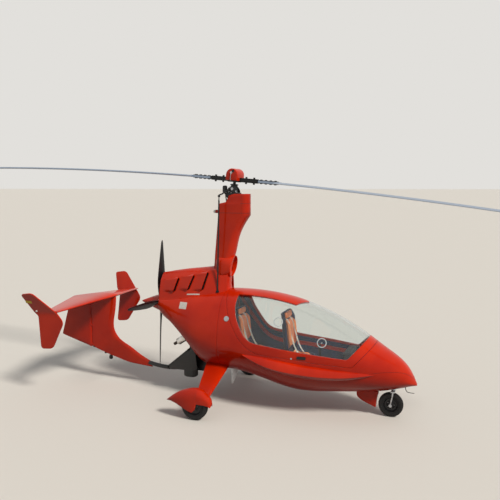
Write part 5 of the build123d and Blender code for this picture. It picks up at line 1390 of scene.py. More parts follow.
# Exhaust, cooler duct, oil tank, keel tube
front, rear = np.array([-0.610, -0.110, 0.799]), np.array([-0.778, -0.110, 0.692])
aim, length = unit(rear - front), float(np.linalg.norm(rear - front))
can = lathe([(-0.004, 0), (-0.004, 0.030), (0.000, 0.040), (0.006, 0.0455), (0.012, 0.0462), (0.014, 0.048),
             (0.018, 0.048), (0.020, 0.0466), (length - 0.020, 0.0466), (length - 0.018, 0.048),
             (length - 0.014, 0.048), (length - 0.012, 0.0462), (length - 0.006, 0.0452), (length - 0.001, 0.041),
             (length, 0.038),
             (length, 0.0206), (length - 0.002, 0.0206), (length - 0.002, 0)], front, aim, 56)
elbow = tube(smoothRun([(-0.640, -0.110, 0.985), (-0.640, -0.110, 0.900), (-0.632, -0.110, 0.840),
                        (-0.618, -0.110, 0.800)], 0.01), 0.021, 24, (0, 1, 0))
makePiece("silencerCan", [can, elbow], "stainlessExhaustSteel", ("muffler",), angle=35)
tailPipe = lathe([(-0.002, 0.0165), (-0.002, 0.020), (0.066, 0.020), (0.0685, 0.0192), (0.0685, 0.0165),
                  (0.066, 0.0160), (-0.002, 0.0160)], rear, aim, 40)
makePiece("silencerTailPipe", [tailPipe], "heatTintedSteel", ("tail_pipe",), angle=35)

# Parts whose CAD shape is right keep it and get their real finish
for name, finish in (("firewall", "galvanisedFirewallSheet"), ("cabin_floor", "greyCompositeFloor"),
                     ("nose_bearing", "machinedAluminium"), ("canopy_hinges", "satinBlackPowderCoatSteel"),
                     ("canopy_knuckles", "satinBlackPowderCoatSteel")):
    for slot in nodes[name].material_slots:
        slot.material = materials[finish]


# Cabin lining: woven navy cloth bonded inside the tub, up to a hand's breadth below the sill
lining = {"below": 0.050, "rear": -0.066, "front": 1.800, "inset": 0.0130, "wall": 0.003}
liningRun = skinRun(shiftedRun(seamSide, -lining["below"]))
liningRun = liningRun[(liningRun[:, 0] > lining["rear"]) & (liningRun[:, 0] < lining["front"])]
liningLoop = joinRuns(
    level(lining["rear"], liningRun[-1, 0], -1), upright(liningRun[-1, 0], -1, liningRun[-1, 1] / hull["unroll"]),
    liningRun[::-1], upright(lining["rear"], liningRun[0, 1] / hull["unroll"], -1))
skinPanel("cabinLining", liningLoop, "cabinLiningFabricBlue", inset=lining["inset"], wall=lining["wall"], bevel=0)


# Bucket seats: one moulded shell along a side path, with flanks that rise towards its edges
seatLook = {
    "half": 0.198, "thick": 0.014, "flank": 0.060, "flankRun": 0.055,
    # side path from the pan's lip to the top of the back, measured from the back's foot and the base
    "path": [(0.428, 0.038), (0.405, 0.006), (0.300, 0.014), (0.160, 0.020), (0.070, 0.060), (0.034, 0.160),
             (0.016, 0.300), (0.000, 0.460), (-0.012, 0.590)],
}
# x of the back's foot, height of the base, height of the shell
seatPlaces = {"front": (0.700, 0.560, 0.640), "rear": (0.070, 0.600, 0.600)}


def seatPath(place, step=0.012):
    x, z, height = place
    run = smoothRun(np.array(seatLook["path"]) * [1, (height - 0.004) / 0.590], step)
    return run + [x, z]


def seatNormals(run):
    along = unit(np.gradient(run, axis=0))
    return np.stack([along[:, 1], -along[:, 0]], axis=-1)


def seatShell(place):
    # across: flat middle, then a flank that rises as a smooth step; lower towards both ends of the path
    run = seatPath(place)
    normal = seatNormals(run)
    y = np.concatenate([np.linspace(-1, -0.62, 9), np.linspace(-0.5, 0.5, 7), np.linspace(0.62, 1, 9)])
    s = np.linspace(0, 1, len(run))
    fade = np.clip(np.minimum(s / 0.18, (1 - s) / 0.10), 0, 1) ** 0.5
    step = smoothStep(1 - (1 - np.abs(y)) * seatLook["half"] / seatLook["flankRun"])
    rise = seatLook["flank"] * step[None, :] * fade[:, None]
    edge = 1 - 0.06 * (1 - fade[:, None])
    grid = np.empty((len(run), len(y), 3))
    grid[..., 0] = run[:, 0:1] + normal[:, 0:1] * rise
    grid[..., 1] = seatLook["half"] * y[None, :] * edge
    grid[..., 2] = run[:, 1:2] + normal[:, 1:2] * rise
    return openSheet(grid)


def seatBase(place):
    # pedestal with rounded corners that tapers upwards
    x, z = place[:2]
    loop = roundLoop([(x + 0.062, -0.148), (x + 0.378, -0.148), (x + 0.378, 0.148), (x + 0.062, 0.148)], 0.03)
    return planLoft(loop, [(0.4325, 1.0), (0.440, 1.0), (0.452, 0.965), (z - 0.02, 0.94), (z + 0.004, 0.94)])


for word, place in seatPlaces.items():
    makePiece(word + "SeatShell", [seatShell(place)], "navyMouldedSeatShell", (word + "_seat",), bevel=0.0025,
              segments=3, wall=seatLook["thick"])
    makePiece(word + "SeatBase", [seatBase(place)], "navyMouldedSeatShell", bevel=0.002)


# Upholstery: foam pads blown up as cloth, then seams and channels pressed in
pads = {
    "voxel": 0.006, "pressure": 4.0, "frames": 20, "cap": 0.012, "seam": 0.0035, "seamWidth": 0.0045, "seamAt": 0.64,
    # along the seat path from one share to another, half width, half thickness, lift above the shell, seams along,
    # and how far the side bolsters stand up
    "pieces": [("Pan", 0.145, 0.455, 0.155, 0.0200, 0.030, (0.245, 0.345), 0.016),
               ("Back", 0.520, 0.905, 0.150, 0.0200, 0.030, (0.610, 0.700, 0.790), 0.042),
               ("Head", 0.915, 0.995, 0.115, 0.0190, 0.034, (), 0.0)],
}


def padForm(place, start, end, half, thick, lift, bolster):
    # superellipse sections along the seat path, drawn in at both ends by a quarter ellipse
    run = seatPath(place, 0.004)
    normal = seatNormals(run)
    s = np.linspace(start, end, 45)
    at = s * (len(run) - 1)
    low = np.clip(at.astype(int), 0, len(run) - 2)
    share = (at - low)[:, None]
    middle = run[low] * (1 - share) + run[low + 1] * share
    up = normal[low] * (1 - share) + normal[low + 1] * share
    d = np.abs(np.linspace(-1, 1, 45))
    close = np.sqrt(np.clip(1 - d ** 7, 0.0, 1)) * 0.985 + 0.015
    pull = 1 - 0.10 * d ** 4
    turn = np.arange(72) * 2 * pi / 72
    across = half * signedPower(np.cos(turn), 0.30)
    deep = thick * signedPower(np.sin(turn), 0.62)
    rings = np.empty((45, 72, 3))
    side = smoothStep((np.abs(across) / half - 0.55) / 0.30)
    raised = bolster * side * np.clip((1 - d) / 0.35, 0, 1)[:, None] ** 0.7
    lifted = lift + deep[None, :] * close[:, None] + raised
    rings[..., 0] = middle[:, 0:1] + up[:, 0:1] * lifted
    rings[..., 1] = across[None, :] * pull[:, None]
    rings[..., 2] = middle[:, 1:2] + up[:, 1:2] * lifted
    return closedLoft(rings)


def blownPad(item):
    # cloth with inner pressure swells the pad; a point may move no further than the cap
    addModifier(item, "REMESH", {"mode": "VOXEL", "voxel_size": pads["voxel"]})
    applyModifiers(item)
    count = len(item.data.vertices)
    before = np.empty(count * 3)
    item.data.vertices.foreach_get("co", before)
    cloth = item.modifiers.new("Blow", "CLOTH")
    cloth.settings.use_pressure = True
    cloth.settings.uniform_pressure_force = pads["pressure"]
    cloth.settings.effector_weights.gravity = 0
    cloth.point_cache.frame_start, cloth.point_cache.frame_end = 1, pads["frames"]
    scene = bpy.context.scene
    for step in range(1, pads["frames"] + 1):
        scene.frame_set(step)
    applyModifiers(item)
    scene.frame_set(1)
    after = np.empty(count * 3)
    item.data.vertices.foreach_get("co", after)
    move = (after - before).reshape(-1, 3)
    move -= move.mean(axis=0)
    length = np.linalg.norm(move, axis=1)[:, None]
    move *= np.minimum(1, pads["cap"] / np.maximum(length, 1e-9))
    item.data.vertices.foreach_set("co", (before.reshape(-1, 3) + move).ravel())
    item.data.update()
    addModifier(item, "SUBSURF", {"levels": 1, "render_levels": 1})
    applyModifiers(item)


def pressSeams(item, place, half, seams):
    # push points inwards by depth * exp(-(distance / width)^2) around sewn lines, on the free side of the pad
    count = len(item.data.vertices)
    co, normal = np.empty(count * 3), np.empty(count * 3)
    item.data.vertices.foreach_get("co", co)
    item.data.vertex_normals.foreach_get("vector", normal)
    co, normal = co.reshape(-1, 3), normal.reshape(-1, 3)
    run = seatPath(place, 0.004)
    facing = seatNormals(run)
    gaps = ((co[:, None, [0, 2]] - run[None, ::4]) ** 2).sum(axis=2)
    near = gaps.argmin(axis=1) * 4
    share = near / (len(run) - 1)
    outward = (normal[:, [0, 2]] * facing[near]).sum(axis=1) > 0.2
    length = np.linalg.norm(np.diff(run, axis=0), axis=1).sum()
    along = ((co[:, [0, 2]] - run[near]) * np.stack([-facing[near][:, 1], facing[near][:, 0]], axis=-1)).sum(axis=1)
    place01 = share * length - along
    edge = half * pads["seamAt"]
    lines = [np.abs(np.abs(co[:, 1]) - edge)]
    lines += [np.where(np.abs(co[:, 1]) < edge, np.abs(place01 - seam * length), 1.0) for seam in seams]
    depth = sum(np.exp(-(d / pads["seamWidth"]) ** 2) for d in lines)
    co -= normal * (pads["seam"] * np.minimum(depth, 1) * outward)[:, None]
    item.data.vertices.foreach_set("co", co.ravel())
    item.data.update()


for word, place in seatPlaces.items():
    for part, start, end, half, thick, lift, seams, bolster in pads["pieces"]:
        replaced = (word + "_cushions",) if part == "Pan" else ()
        pad = makePiece(word + part + "Pad", [padForm(place, start, end, half, thick, lift, bolster)],
                        "orangeStitchedLeather", replaced, angle=60)
        blownPad(pad)
        pressSeams(pad, place, half, seams)
print("seats made")


# Harness webbing: pale flat straps that hang from the shoulders over the pads down to the lap
belt = {"wide": 0.045, "thick": 0.0024,
        # side view from the back's foot and the base, and breadth
        "run": [(0.012, 0.560, 0.070), (0.052, 0.520, 0.078), (0.078, 0.420, 0.088), (0.110, 0.300, 0.094),
                (0.160, 0.170, 0.092), (0.215, 0.105, 0.070), (0.250, 0.093, 0.036)]}


def beltShell(place, side):
    # ribbon across the side path; its flat face looks forwards and up
    run = smoothRun(np.array(belt["run"]), 0.010) + [place[0], place[1], 0]
    run[:, 1] += (place[2] - 0.640) * np.clip((run[:, 1] - place[1]) / 0.5, 0, 1)
    middle = np.stack([run[:, 0], run[:, 2] * side, run[:, 1]], axis=-1)
    along = np.gradient(middle, axis=0)
    across = unit(np.cross(along, (1.0, 0, 0.5)))
    up = unit(np.cross(across, along))
    rings = [middle + across * belt["wide"] * w + up * belt["thick"] * h
             for w, h in ((-0.5, -0.5), (0.5, -0.5), (0.5, 0.5), (-0.5, 0.5))]
    return closedLoft(np.stack(rings, axis=1))


for word, place in seatPlaces.items():
    makePiece(word + "HarnessStraps", [beltShell(place, side) for side in (-1, 1)], "wovenPolyesterWebbing",
              angle=30)
    buckle = boxShell((place[0] + 0.225, -0.036, place[1] + 0.086), (place[0] + 0.285, 0.036, place[1] + 0.101))
    makePiece(word + "HarnessBuckle", [buckle], "machinedAluminium", bevel=0.005, segments=3)


# Instrument pod: rounded binnacle on a post, its face leans towards the pilot
pod = {
    "outline": [(1.500, 0.562), (1.560, 0.562), (1.606, 0.752), (1.560, 0.786), (1.462, 0.772)],
    "half": 0.235, "post": 0.058, "dials": [(-0.150, 0.710, 0.038), (-0.055, 0.710, 0.038), (0.045, 0.715, 0.029),
                                            (0.125, 0.715, 0.029), (-0.100, 0.634, 0.026), (-0.010, 0.634, 0.026),
                                            (0.080, 0.637, 0.026)],
}


def podShell():
    # side outline carried across, drawn in towards both ends by a rounded shoulder
    loop = roundLoop(pod["outline"], 0.022, 5)
    middle = loop.mean(axis=0)
    y = np.linspace(-1, 1, 25)
    shrink = np.clip(1 - np.abs(y) ** 9, 0.0, 1) ** 0.5 * 0.30 + 0.70
    rings = [np.stack([middle[0] + (loop[:, 0] - middle[0]) * share, np.full(len(loop), pod["half"] * v),
                       middle[1] + (loop[:, 1] - middle[1]) * share], axis=-1) for v, share in zip(y, shrink)]
    return closedLoft(rings)


postHalf = pod["post"]
postLoop = roundLoop([(1.500, -postHalf), (1.560, -postHalf), (1.560, postHalf), (1.500, postHalf)], 0.015)
post = planLoft(postLoop, [(0.4325, 1.0), (0.50, 1.0), (0.60, 1.0)])
makePiece("instrumentPod", [podShell(), post], "blackGrainedPanelCoat", ("instrument_panel",), bevel=0.002,
          angle=35)
faceA, faceB = np.array(pod["outline"][0]), np.array(pod["outline"][-1])
faceAlong = unit(faceB - faceA)
faceOut = np.array([-faceAlong[1], faceAlong[0]])
bezels, faces = [], []
for y, z, r in pod["dials"]:
    foot = faceA + faceAlong * (z - faceA[1]) / faceAlong[1]
    place = (foot[0] + faceOut[0] * 0.001, y, foot[1] + faceOut[1] * 0.001)
    out = (faceOut[0], 0, faceOut[1])
    bezels.append(lathe([(0, r), (0.006, r), (0.008, r - 0.003), (0.005, r - 0.006), (0, r - 0.006), (0, r)],
                        place, out, 40))
    faces.append(lathe([(-0.001, 0), (-0.001, r - 0.005), (0.003, r - 0.005), (0.003, 0)], place, out, 32))
makePiece("dialBezels", bezels, "blackAnodisedAluminium", angle=30)
makePiece("dialFaces", faces, "instrumentFaceBlack", angle=30)

# Control stick with a rubber boot and a moulded grip
stickRun = smoothRun([(1.180, 0, 0.434), (1.172, 0, 0.500), (1.150, 0, 0.620), (1.140, 0, 0.700)])
grip = [(0, 0), (0, 0.013), (0.010, 0.0185), (0.030, 0.0175), (0.055, 0.0195), (0.080, 0.0185), (0.094, 0.0155),
        (0.1, 0.008), (0.1, 0)]
boot = [(0, 0), (0, 0.052), (0.006, 0.052), (0.010, 0.042), (0.018, 0.046), (0.026, 0.036), (0.034, 0.039),
        (0.042, 0.029), (0.050, 0.031), (0.060, 0.020), (0.072, 0.014), (0.072, 0)]
makePiece("stickTube", [tube(stickRun, 0.0115, 20, (0, 1, 0))], "satinBlackPowderCoatSteel", ("control_stick",))
makePiece("stickGrip", [lathe(grip, (1.140, 0, 0.700), (-0.05, 0, 1))], "nylonBlackMoulding")
makePiece("stickBoot", [lathe(boot, (1.180, 0, 0.4325), (-0.05, 0, 1))], "rubberHose")
print("cabin made")


# Engine: crankcase, four finned cylinders, gearbox and shaft, with intake pipes above
engineLook = {"middle": (-0.560, 1.115), "case": (0.400, 0.110, 0.200), "cylinderX": (-0.665, -0.455),
              "fins": 9, "finRadius": 0.062, "gearZ": 1.190}


def engineShells():
    x, z = engineLook["middle"]
    lx, wy, hz = engineLook["case"]
    shells = [boxShell((x - lx / 2, -wy, z - hz / 2), (x + lx / 2, wy, z + hz / 2))]
    for cx in engineLook["cylinderX"]:
        for side in (-1, 1):
            profile = [(0, 0), (0, 0.052)]
            for k in range(engineLook["fins"]):
                at = 0.006 + k * 0.0088
                profile += [(at, 0.052), (at, engineLook["finRadius"]), (at + 0.003, engineLook["finRadius"]),
                            (at + 0.003, 0.052)]
            profile += [(0.086, 0.052), (0.086, 0)]
            shells.append(lathe(profile, (cx, side * 0.105, z), (0, side, 0), 40))
    return shells


gearHousing = [(0, 0), (0, 0.058), (0.020, 0.060), (0.120, 0.060), (0.135, 0.054), (0.190, 0.048), (0.215, 0.040),
               (0.220, 0.024), (0.245, 0.0238), (0.245, 0)]
pipes = [tube(smoothRun([(cx, side * 0.150, 1.170), (cx + 0.01, side * 0.130, 1.212), (cx + 0.03, side * 0.08, 1.228),
                         (-0.560, side * 0.030, 1.228)]), 0.016, 18, (1, 0, 0.2))
         for cx in engineLook["cylinderX"] for side in (-1, 1)]
makePiece("engineCrankcase", engineShells(), "castAluminiumCrankcase", ("engine_block",), bevel=0.0012, segments=1,
          angle=35)
makePiece("engineGearbox", [lathe(gearHousing, (-0.782, 0, engineLook["gearZ"]), (-1, 0, 0), 48)],
          "castAluminiumCrankcase", angle=35)
makePiece("engineIntakePipes", pipes, "rubberHose")
mountRuns = [((-0.108, side * 0.170, low), (-0.345, side * 0.130, high))
             for side in (-1, 1) for low, high in ((0.960, 1.010), (1.250, 1.235))]
mountShells = [tube(np.linspace(a, b, 5), 0.0125, 20) for a, b in mountRuns]
mountShells += [lathe([(0, 0), (0, 0.030), (0.007, 0.030), (0.009, 0.026), (0.009, 0)], a, (-1, 0, 0), 32)
                for a, b in mountRuns]
makePiece("engineMountTubes", mountShells, "satinBlackPowderCoatSteel", ("engine_mount",), angle=35)

# Cooler: finned core between two header tanks, leaning below the engine, in a black shroud
coolerLook = {"middle": (-0.745, 0.0, 0.470), "size": (0.430, 0.330, 0.060), "lean": -40, "fins": 46, "tubes": 9}


def coolerShells():
    lx, wy, tz = (v / 2 for v in coolerLook["size"])
    turn = turnAbout((0, 1, 0), coolerLook["lean"])
    core, tanks = [], []
    for x in np.linspace(-lx + 0.034, lx - 0.034, coolerLook["fins"]):
        core.append(boxShell((x - 0.0007, -wy + 0.012, -0.022), (x + 0.0007, wy - 0.012, 0.022)))
    for y in np.linspace(-wy + 0.026, wy - 0.026, coolerLook["tubes"]):
        core.append(boxShell((-lx + 0.028, y - 0.004, -0.018), (lx - 0.028, y + 0.004, 0.018)))
    for side in (-1, 1):
        tanks.append(boxShell((side * lx, -wy, -tz), (side * (lx - 0.030), wy, tz)))
        tanks.append(boxShell((-lx, side * (wy - 0.012), -tz * 0.9), (lx, side * wy, tz * 0.9)))
    where = coolerLook["middle"]
    return [placed(s, turn, where) for s in core], [placed(s, turn, where) for s in tanks]


coolerCore, coolerTanks = coolerShells()
makePiece("coolerCore", coolerCore, "blackAnodisedAluminium", ("cooler",), angle=30)
makePiece("coolerTanks", coolerTanks, "nylonBlackMoulding", bevel=0.006, segments=3)
shroudLoop = roundLoop([(-0.905, 0.328), (-0.575, 0.612), (-0.560, 0.655), (-0.505, 0.640), (-0.472, 0.352),
                        (-0.560, 0.330)], 0.012)
shroudShells = [sidePlate(shroudLoop, side * 0.169, side * 0.003) for side in (-1, 1)]
makePiece("coolerSideShrouds", shroudShells, "carbonPrepregSatin", bevel=0.001)

# Oil tank: upright can with a rounded foot and top
tankLoop = roundLoop([(-0.688, -0.168), (-0.502, -0.168), (-0.502, -0.038), (-0.688, -0.038)], 0.06, 8)
tankRows = [(0.236, 0.55), (0.238, 0.80), (0.246, 0.95), (0.262, 1.0), (0.350, 1.0), (0.366, 0.95), (0.375, 0.80),
            (0.379, 0.50)]
makePiece("oilTankBody", [planLoft(tankLoop, tankRows)], "nylonBlackMoulding", ("oil_tank",), angle=35)

# Subframe and keel boom
beamLow, beamHigh = (-0.620, -0.034, 0.300), (-0.250, 0.034, 0.500)
makePiece("subframeBeams", [boxShell(beamLow, beamHigh), boxShell((-0.650, -0.034, 0.300), (-0.600, 0.034, 0.640))],
          "satinBlackPowderCoatSteel", ("subframe",), bevel=0.006, segments=3)
boomRun = smoothRun([(-0.650, 0, 0.352), (-0.860, 0, 0.298), (-1.140, 0, 0.298), (-1.290, 0, 0.322)])
makePiece("keelBoomTube", [tube(boomRun, 0.0278, 32, (0, 1, 0))], "carbonPrepregSatin", ("keel_boom",))

# Main axles with their knuckle plates
for word, side in bothSides:
    y = side * 0.838
    axle = lathe([(0, 0), (0, 0.0125), (0.158, 0.0125), (0.158, 0)], (-0.148, y, 0.163), (0, side, 0), 32)
    loop = roundLoop([(-0.182, 0.130), (-0.088, 0.130), (-0.088, 0.300), (-0.182, 0.300)], 0.02)
    knuckle = sidePlate(loop, y, -side * 0.020)
    makePiece("mainAxle" + word, [axle, knuckle], "machinedAluminium", ("main_axle_" + word.lower(),), bevel=0.0012)

# Tail wheel bracket, air data probe and boarding step
bracketLoop = roundLoop([(-1.926, 0.324), (-1.902, 0.324), (-1.898, 0.375), (-1.930, 0.375)], 0.006)
bracketShells = [sidePlate(bracketLoop, side * 0.0152, side * 0.0046) for side in (-1, 1)]
bracketShells.append(lathe([(0, 0), (0, 0.006), (0.046, 0.006), (0.046, 0)], (-1.914, -0.023, 0.336), (0, 1, 0), 6))
makePiece("tailBracket", bracketShells, "satinBlackPowderCoatSteel", ("tail_bracket",), bevel=0.0008)
probeRun = smoothRun([(2.188, 0, 0.402), (2.190, 0, 0.360), (2.206, 0, 0.326), (2.240, 0, 0.316), (2.292, 0, 0.315)],
                     0.006)
makePiece("pitotProbe", [tube(probeRun, np.linspace(0.0052, 0.0038, len(probeRun)), 16, (0, 1, 0))],
          "satinBlackPowderCoatSteel", ("pitot_tube",))
stepLoop = roundLoop([(-0.013, 0.458), (-0.013, 0.205), (0.010, 0.205), (0.110, 0.458)], 0.010)
makePiece("bellyStepPlate", [sidePlate(stepLoop, -0.106, 0.012)], "machinedAluminium", ("belly_step",), bevel=0.003,
          segments=3)

# Beacon behind the mast: black body, red collar and a white lens, and the fuel filler cap
beaconBody = [(0, 0), (0, 0.0158), (0.062, 0.0158), (0.066, 0.0140), (0.066, 0)]
beaconLens = [(0.110, 0), (0.110, 0.0200), (0.130, 0.0195), (0.144, 0.0150), (0.152, 0)]
makePiece("beaconBody", [lathe(beaconBody, (-0.151, 0, 2.440), (-1, 0, 0), 40)], "satinBlackPowderCoatSteel",
          ("beacon",), angle=35)
makePiece("beaconLens", [lathe(beaconLens, (-0.151, 0, 2.440), (-1, 0, 0), 40)], "acrylicLampWhite", angle=35)
beaconCollar = [(0.066, 0), (0.066, 0.0225), (0.112, 0.0225), (0.114, 0.0205), (0.114, 0)]
makePiece("beaconCollar", [lathe(beaconCollar, (-0.151, 0, 2.440), (-1, 0, 0), 40)], "redPolyurethaneEnamel",
          angle=35)


def surfaceFrame(x, z):
    # starboard point of the skin at a side-view place, and its outward normal from two short steps along the skin
    t = sideToSkin(np.array([[x, z]]))[0, 1]
    here = hullPoint(x, t)
    alongX = hullPoint(x + 0.01, t) - hullPoint(x - 0.01, t)
    alongT = hullPoint(x, t + 0.01) - hullPoint(x, t - 0.01)
    out = unit(np.cross(alongT, alongX))
    flip = np.array([1, -1, 1])
    return here * flip, out * flip * np.sign(out[1])


capPlace, capOut = surfaceFrame(0.039, 1.123)
capProfile = [(-0.012, 0), (-0.012, 0.020), (0.001, 0.020), (0.001, 0.0335), (0.004, 0.0335), (0.0055, 0.031),
              (0.0055, 0.027), (0.008, 0.026), (0.009, 0.022), (0.009, 0)]
capGrip = placed(boxShell((-0.018, -0.003, -0.003), (0.018, 0.003, 0.003)), np.eye(3), capPlace + capOut * 0.0105)
makePiece("fuelCapLid", [lathe(capProfile, capPlace, capOut, 48), capGrip], "machinedAluminium", ("fuel_cap",),
          angle=30)


# Small things on the skin: patches that follow the hull at a side-view place
def skinPatch(cx, cz, wide, high, lift, side=-1, corner=0.006, slant=0.0):
    # rounded rectangle in side view, shrunk in steps to its middle; every step lies on the skin
    loop = roundLoop([(-wide / 2, -high / 2), (wide / 2, -high / 2), (wide / 2, high / 2), (-wide / 2, high / 2)],
                     corner, 5)
    loop = denser(loop, 0.008)
    a = math.radians(slant)
    loop = loop @ np.array([[math.cos(a), math.sin(a)], [-math.sin(a), math.cos(a)]])
    rings = []
    for share, depth in ((0.02, 0.002), (1.0, 0.002), (1.0, -lift), (0.75, -lift), (0.5, -lift), (0.25, -lift),
                         (0.02, -lift)):
        skin = sideToSkin(loop * share + [cx, cz])
        rings.append(hullPoint(skin[:, 0], skin[:, 1], depth) * [1, side, 1])
    return closedLoft(rings)


def skinLine(points, radius, lift=0.0, side=-1):
    # thin bead along a side-view line on the skin
    skin = sideToSkin(smoothRun(points, 0.012))
    path = hullPoint(skin[:, 0], skin[:, 1], -lift) * [1, side, 1]
    return tube(path, radius, 8)


fittings = {
    "label": (-0.622, 1.222, 0.112, 0.082), "latch": (1.022, 0.735, 0.110, 0.036), "lock": (0.899, 0.716, 0.011),
    "strip": ((-0.600, -0.420), (0.10, 0.155)), "recessShade": (1.935, 0.940, 0.120, 0.030),
    "vents": [(1.256, 0.928), (0.712, 1.133)], "ventRadius": 0.052,
}
cx, cz, w, h = fittings["label"]
makePiece("blankLabel", [skinPatch(cx, cz, w, h, 0.0006)], "blankLabelWhite", angle=30)
(x0, x1), (u0, u1) = fittings["strip"]
stripGrid = ridgePoint(np.linspace(x0, x1, 16)[:, None], np.linspace(u0, u1, 4)[None, :]) + [0, 0.0012, 0]
makePiece("cowlPaleStrip", [openSheet(stripGrid * [1, -1, 1])], "blankLabelWhite", wall=0.001)
# a near-flat dark red patch on both sides of the nose, painted as the shade inside a recess
cx, cz, w, h = fittings["recessShade"]
makePiece("noseRecessShade", [skinPatch(cx, cz, w, h, 0.0005, side, 0.012, -42) for side in (-1, 1)],
          "paintedShadeDarkRed", angle=30)
cx, cz, w, h = fittings["latch"]
latchPlate = skinPatch(cx, cz, w, h, 0.006, corner=0.012)
latchGrip = skinPatch(cx + 0.006, cz + 0.002, w * 0.62, h * 0.42, 0.012, corner=0.006)
makePiece("canopyLatch", [latchPlate, latchGrip], "nylonBlackMoulding", body="canopy", bevel=0.0015)
lockPlace, lockOut = surfaceFrame(*fittings["lock"][:2])
r = fittings["lock"][2]
lockShells = [lathe([(-0.004, 0), (-0.004, r), (0.002, r), (0.003, r - 0.002), (0.003, 0)], lockPlace, lockOut, 32)]
makePiece("tubLock", lockShells, "machinedAluminium", angle=30)

# Vents blown into the pane: a ring with a pivoting disc in it
ventRings, ventDiscs = [], []
for cx, cz in fittings["vents"]:
    place, out = surfaceFrame(cx, cz)
    r = fittings["ventRadius"]
    ventRings.append(lathe([(-0.004, r - 0.005), (0.0035, r - 0.005), (0.0050, r - 0.002), (0.0045, r + 0.002),
                            (0.0005, r + 0.005), (-0.004, r + 0.003)], place, out, 48))
    ventDiscs.append(lathe([(-0.002, 0), (-0.002, 0.007), (0.003, 0.007), (0.004, 0.005), (0.004, 0)],
                           place, out, 20))
makePiece("ventRings", ventRings, "frostedAcrylicRing", body="canopy", angle=30)
makePiece("ventKnobs", ventDiscs, "frostedAcrylicRing", body="canopy", angle=30)

# Lines on the skin: a dark red bead painted as the shade in the nose's crease, and dark seam bands on the mast
creaseLine = [(1.740, 0.560), (1.850, 0.596), (2.010, 0.606), (2.130, 0.598), (2.220, 0.566), (2.290, 0.500)]
makePiece("noseCreaseShadeLine", [skinLine(creaseLine, 0.0016, 0.0, side) for side in (-1, 1)], "paintedShadeDarkRed")
mastBands = []
for z in (2.425, 2.546):
    rear = -mast["headFront"] if z < 2.5 else -0.108
    rings = [mastRing(z + dz, mast["headFront"] + out, rear - out * 0.5, mast["headHalf"] + out)
             for dz, out in ((-0.0016, -0.002), (-0.0016, 0.0007), (0.0016, 0.0007), (0.0016, -0.002))]
    mastBands.append(closedLoft(rings))
makePiece("mastSeamBands", mastBands, "nylonBlackMoulding", angle=30)

# Tail: blank yellow plate, white position light, and the rudder's hinge fittings
plateRows = []
for v in np.linspace(1.285, 1.325, 4):
    x = np.linspace(-2.480, -2.385, 8)
    plateRows.append(plateSurface(x, np.full(8, v)) * [1, -1, 1] + [0, -0.0082, 0])
makePiece("endPlateBlankPlate", [openSheet(np.array(plateRows))], "blankPlateYellow", wall=0.001)
for word, side in bothSides:
    foot = plateSurface(np.array([-2.365]), np.array([1.165]))[0] * [1, side, 1]
    lamp = lathe([(-0.004, 0), (-0.004, 0.014), (0.004, 0.014), (0.012, 0.010), (0.016, 0)],
                 foot + [0, side * 0.007, 0], (0, side, 0), 28)
    makePiece("tailLamp" + word, [lamp], "acrylicLampWhite", angle=35)
hingeFittings = []
for z in (0.500, 0.780, 1.060):
    hingeFittings.append(boxShell((-2.250, -0.016, z - 0.012), (-2.200, 0.016, z + 0.012)))
hingeFittings.append(boxShell((-2.2205, -0.006, 0.472), (-2.200, 0.006, 1.140)))
makePiece("rudderHingeStraps", hingeFittings, "redPolyurethaneEnamel", bevel=0.002)
keelFittings = [boxShell((x - 0.014, -0.014, z - 0.014), (x + 0.014, 0.014, z + 0.006))
                for x, z in ((-2.190, 0.472), (-2.000, 0.398))]
makePiece("finKeelFittings", keelFittings, "nylonBlackMoulding", bevel=0.003)
print("fittings made")


# Stage, lights and camera
stageLook = {"floor": "#DEDBD5", "sky": "#E2E0DC", "size": 3000.0, "sun": 3.0, "sunAngle": 12.0,
             "sunFrom": (6.6, -3.1, 6.5), "fill": 0.36, "low": "#A8ACB2", "high": "#FFFFFF",
             "bounce": "#77736E"}


def seenRays(tree):
    # 1 for the rays that show the background: straight from the camera, through glass, or mirrored in gloss
    path = addNode(tree, "ShaderNodeLightPath")
    straight = addNode(tree, "ShaderNodeMath", {"operation": "MAXIMUM"},
                       {0: path.outputs["Is Camera Ray"], 1: path.outputs["Is Transmission Ray"]})
    return addNode(tree, "ShaderNodeMath", {"operation": "MAXIMUM"},
                   {0: straight.outputs["Value"], 1: path.outputs["Is Glossy Ray"]}).outputs["Value"]


def makeStage():
    tree, here = newMaterial("palePlasterFloor")
    grain = addNode(tree, "ShaderNodeTexNoise", {"Scale": 3.0, "Detail": 4.0}, here)
    rough = addNode(tree, "ShaderNodeMapRange", {"To Min": 0.85, "To Max": 0.95}, {"Value": grain.outputs["Fac"]})
    # the floor is pale wherever it is seen; the diffuse light that bounces off it is dimmer
    tone = addNode(tree, "ShaderNodeMix", {"data_type": "RGBA", 6: linearColour(stageLook["bounce"]),
                                           7: linearColour(stageLook["floor"])}, {0: seenRays(tree)})
    finishMaterial(tree, {"IOR": 1.45},
                   {"Base Color": tone.outputs[2], "Roughness": rough.outputs["Result"]})
    half = stageLook["size"] / 2
    mesh = bpy.data.meshes.new("studioFloor")
    mesh.from_pydata([(-half, -half, 0), (half, -half, 0), (half, half, 0), (-half, half, 0)], [], [(0, 1, 2, 3)])
    mesh.materials.append(materials["palePlasterFloor"])
    floor = bpy.data.objects.new("studioFloor", mesh)
    bpy.context.scene.collection.objects.link(floor)


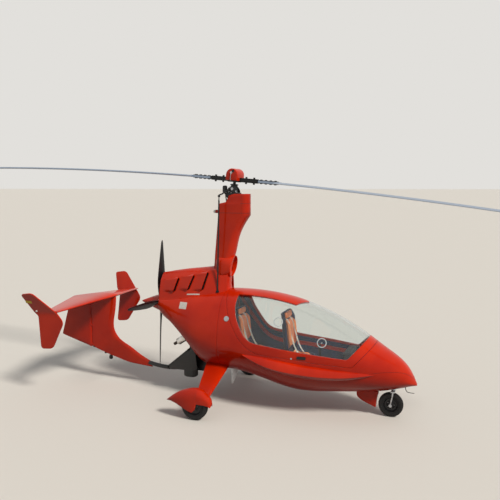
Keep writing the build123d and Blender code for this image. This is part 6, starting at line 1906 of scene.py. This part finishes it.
def makeWorld():
    # a sky that brightens from the horizon upwards; what the camera sees of it has the floor's lit colour
    world = bpy.data.worlds.new("softStudio")
    world.use_nodes = True
    tree = world.node_tree
    tree.nodes.clear()
    output = addNode(tree, "ShaderNodeOutputWorld")
    coords = addNode(tree, "ShaderNodeTexCoord")
    split = addNode(tree, "ShaderNodeSeparateXYZ", {}, {"Vector": coords.outputs["Generated"]})
    tone = setRamp(addNode(tree, "ShaderNodeValToRGB", {}, {"Fac": split.outputs["Z"]}),
                   [(0.0, stageLook["low"]), (0.55, stageLook["high"])])
    light = addNode(tree, "ShaderNodeBackground", {"Strength": stageLook["fill"]}, {"Color": tone.outputs["Color"]})
    shown = addNode(tree, "ShaderNodeBackground", {"Color": linearColour(stageLook["sky"]), "Strength": 1.0})
    mix = addNode(tree, "ShaderNodeMixShader", {}, {0: seenRays(tree), 1: light.outputs["Background"],
                                                    2: shown.outputs["Background"]})
    tree.links.new(mix.outputs["Shader"], output.inputs["Surface"])
    bpy.context.scene.world = world


def addSun():
    lamp = bpy.data.lights.new("softSun", "SUN")
    lamp.energy, lamp.angle = stageLook["sun"], math.radians(stageLook["sunAngle"])
    lamp.color = linearColour("#FFF8EE")[:3]
    item = bpy.data.objects.new("softSun", lamp)
    item.location = stageLook["sunFrom"]
    item.rotation_euler = (-Vector(stageLook["sunFrom"])).to_track_quat("-Z", "Y").to_euler()
    item.visible_glossy = False       # its mirror image would burn out on the glass and the coat
    bpy.context.scene.collection.objects.link(item)


def addCamera():
    # the photograph's view, worked out from its horizon row, the wheels on the ground and the hull's length
    view = {"place": (2.885, -7.16, 2.742), "azimuth": 20.5, "focal": 600.0, "horizonRow": 188.0, "side": 500.0}
    lens = bpy.data.cameras.new("viewCamera")
    lens.sensor_width = 36.0
    lens.lens = view["focal"] * lens.sensor_width / view["side"]
    lens.clip_end = 5000.0
    item = bpy.data.objects.new("viewCamera", lens)
    pitch = math.atan((view["side"] / 2 - view["horizonRow"]) / view["focal"])
    item.location = view["place"]
    item.rotation_euler = (pi / 2 - pitch, 0, math.radians(view["azimuth"]))
    bpy.context.scene.collection.objects.link(item)
    bpy.context.scene.camera = item


makeStage()
makeWorld()
addSun()
addCamera()
bpy.context.scene.view_settings.view_transform = "Standard"
print("scene ready")
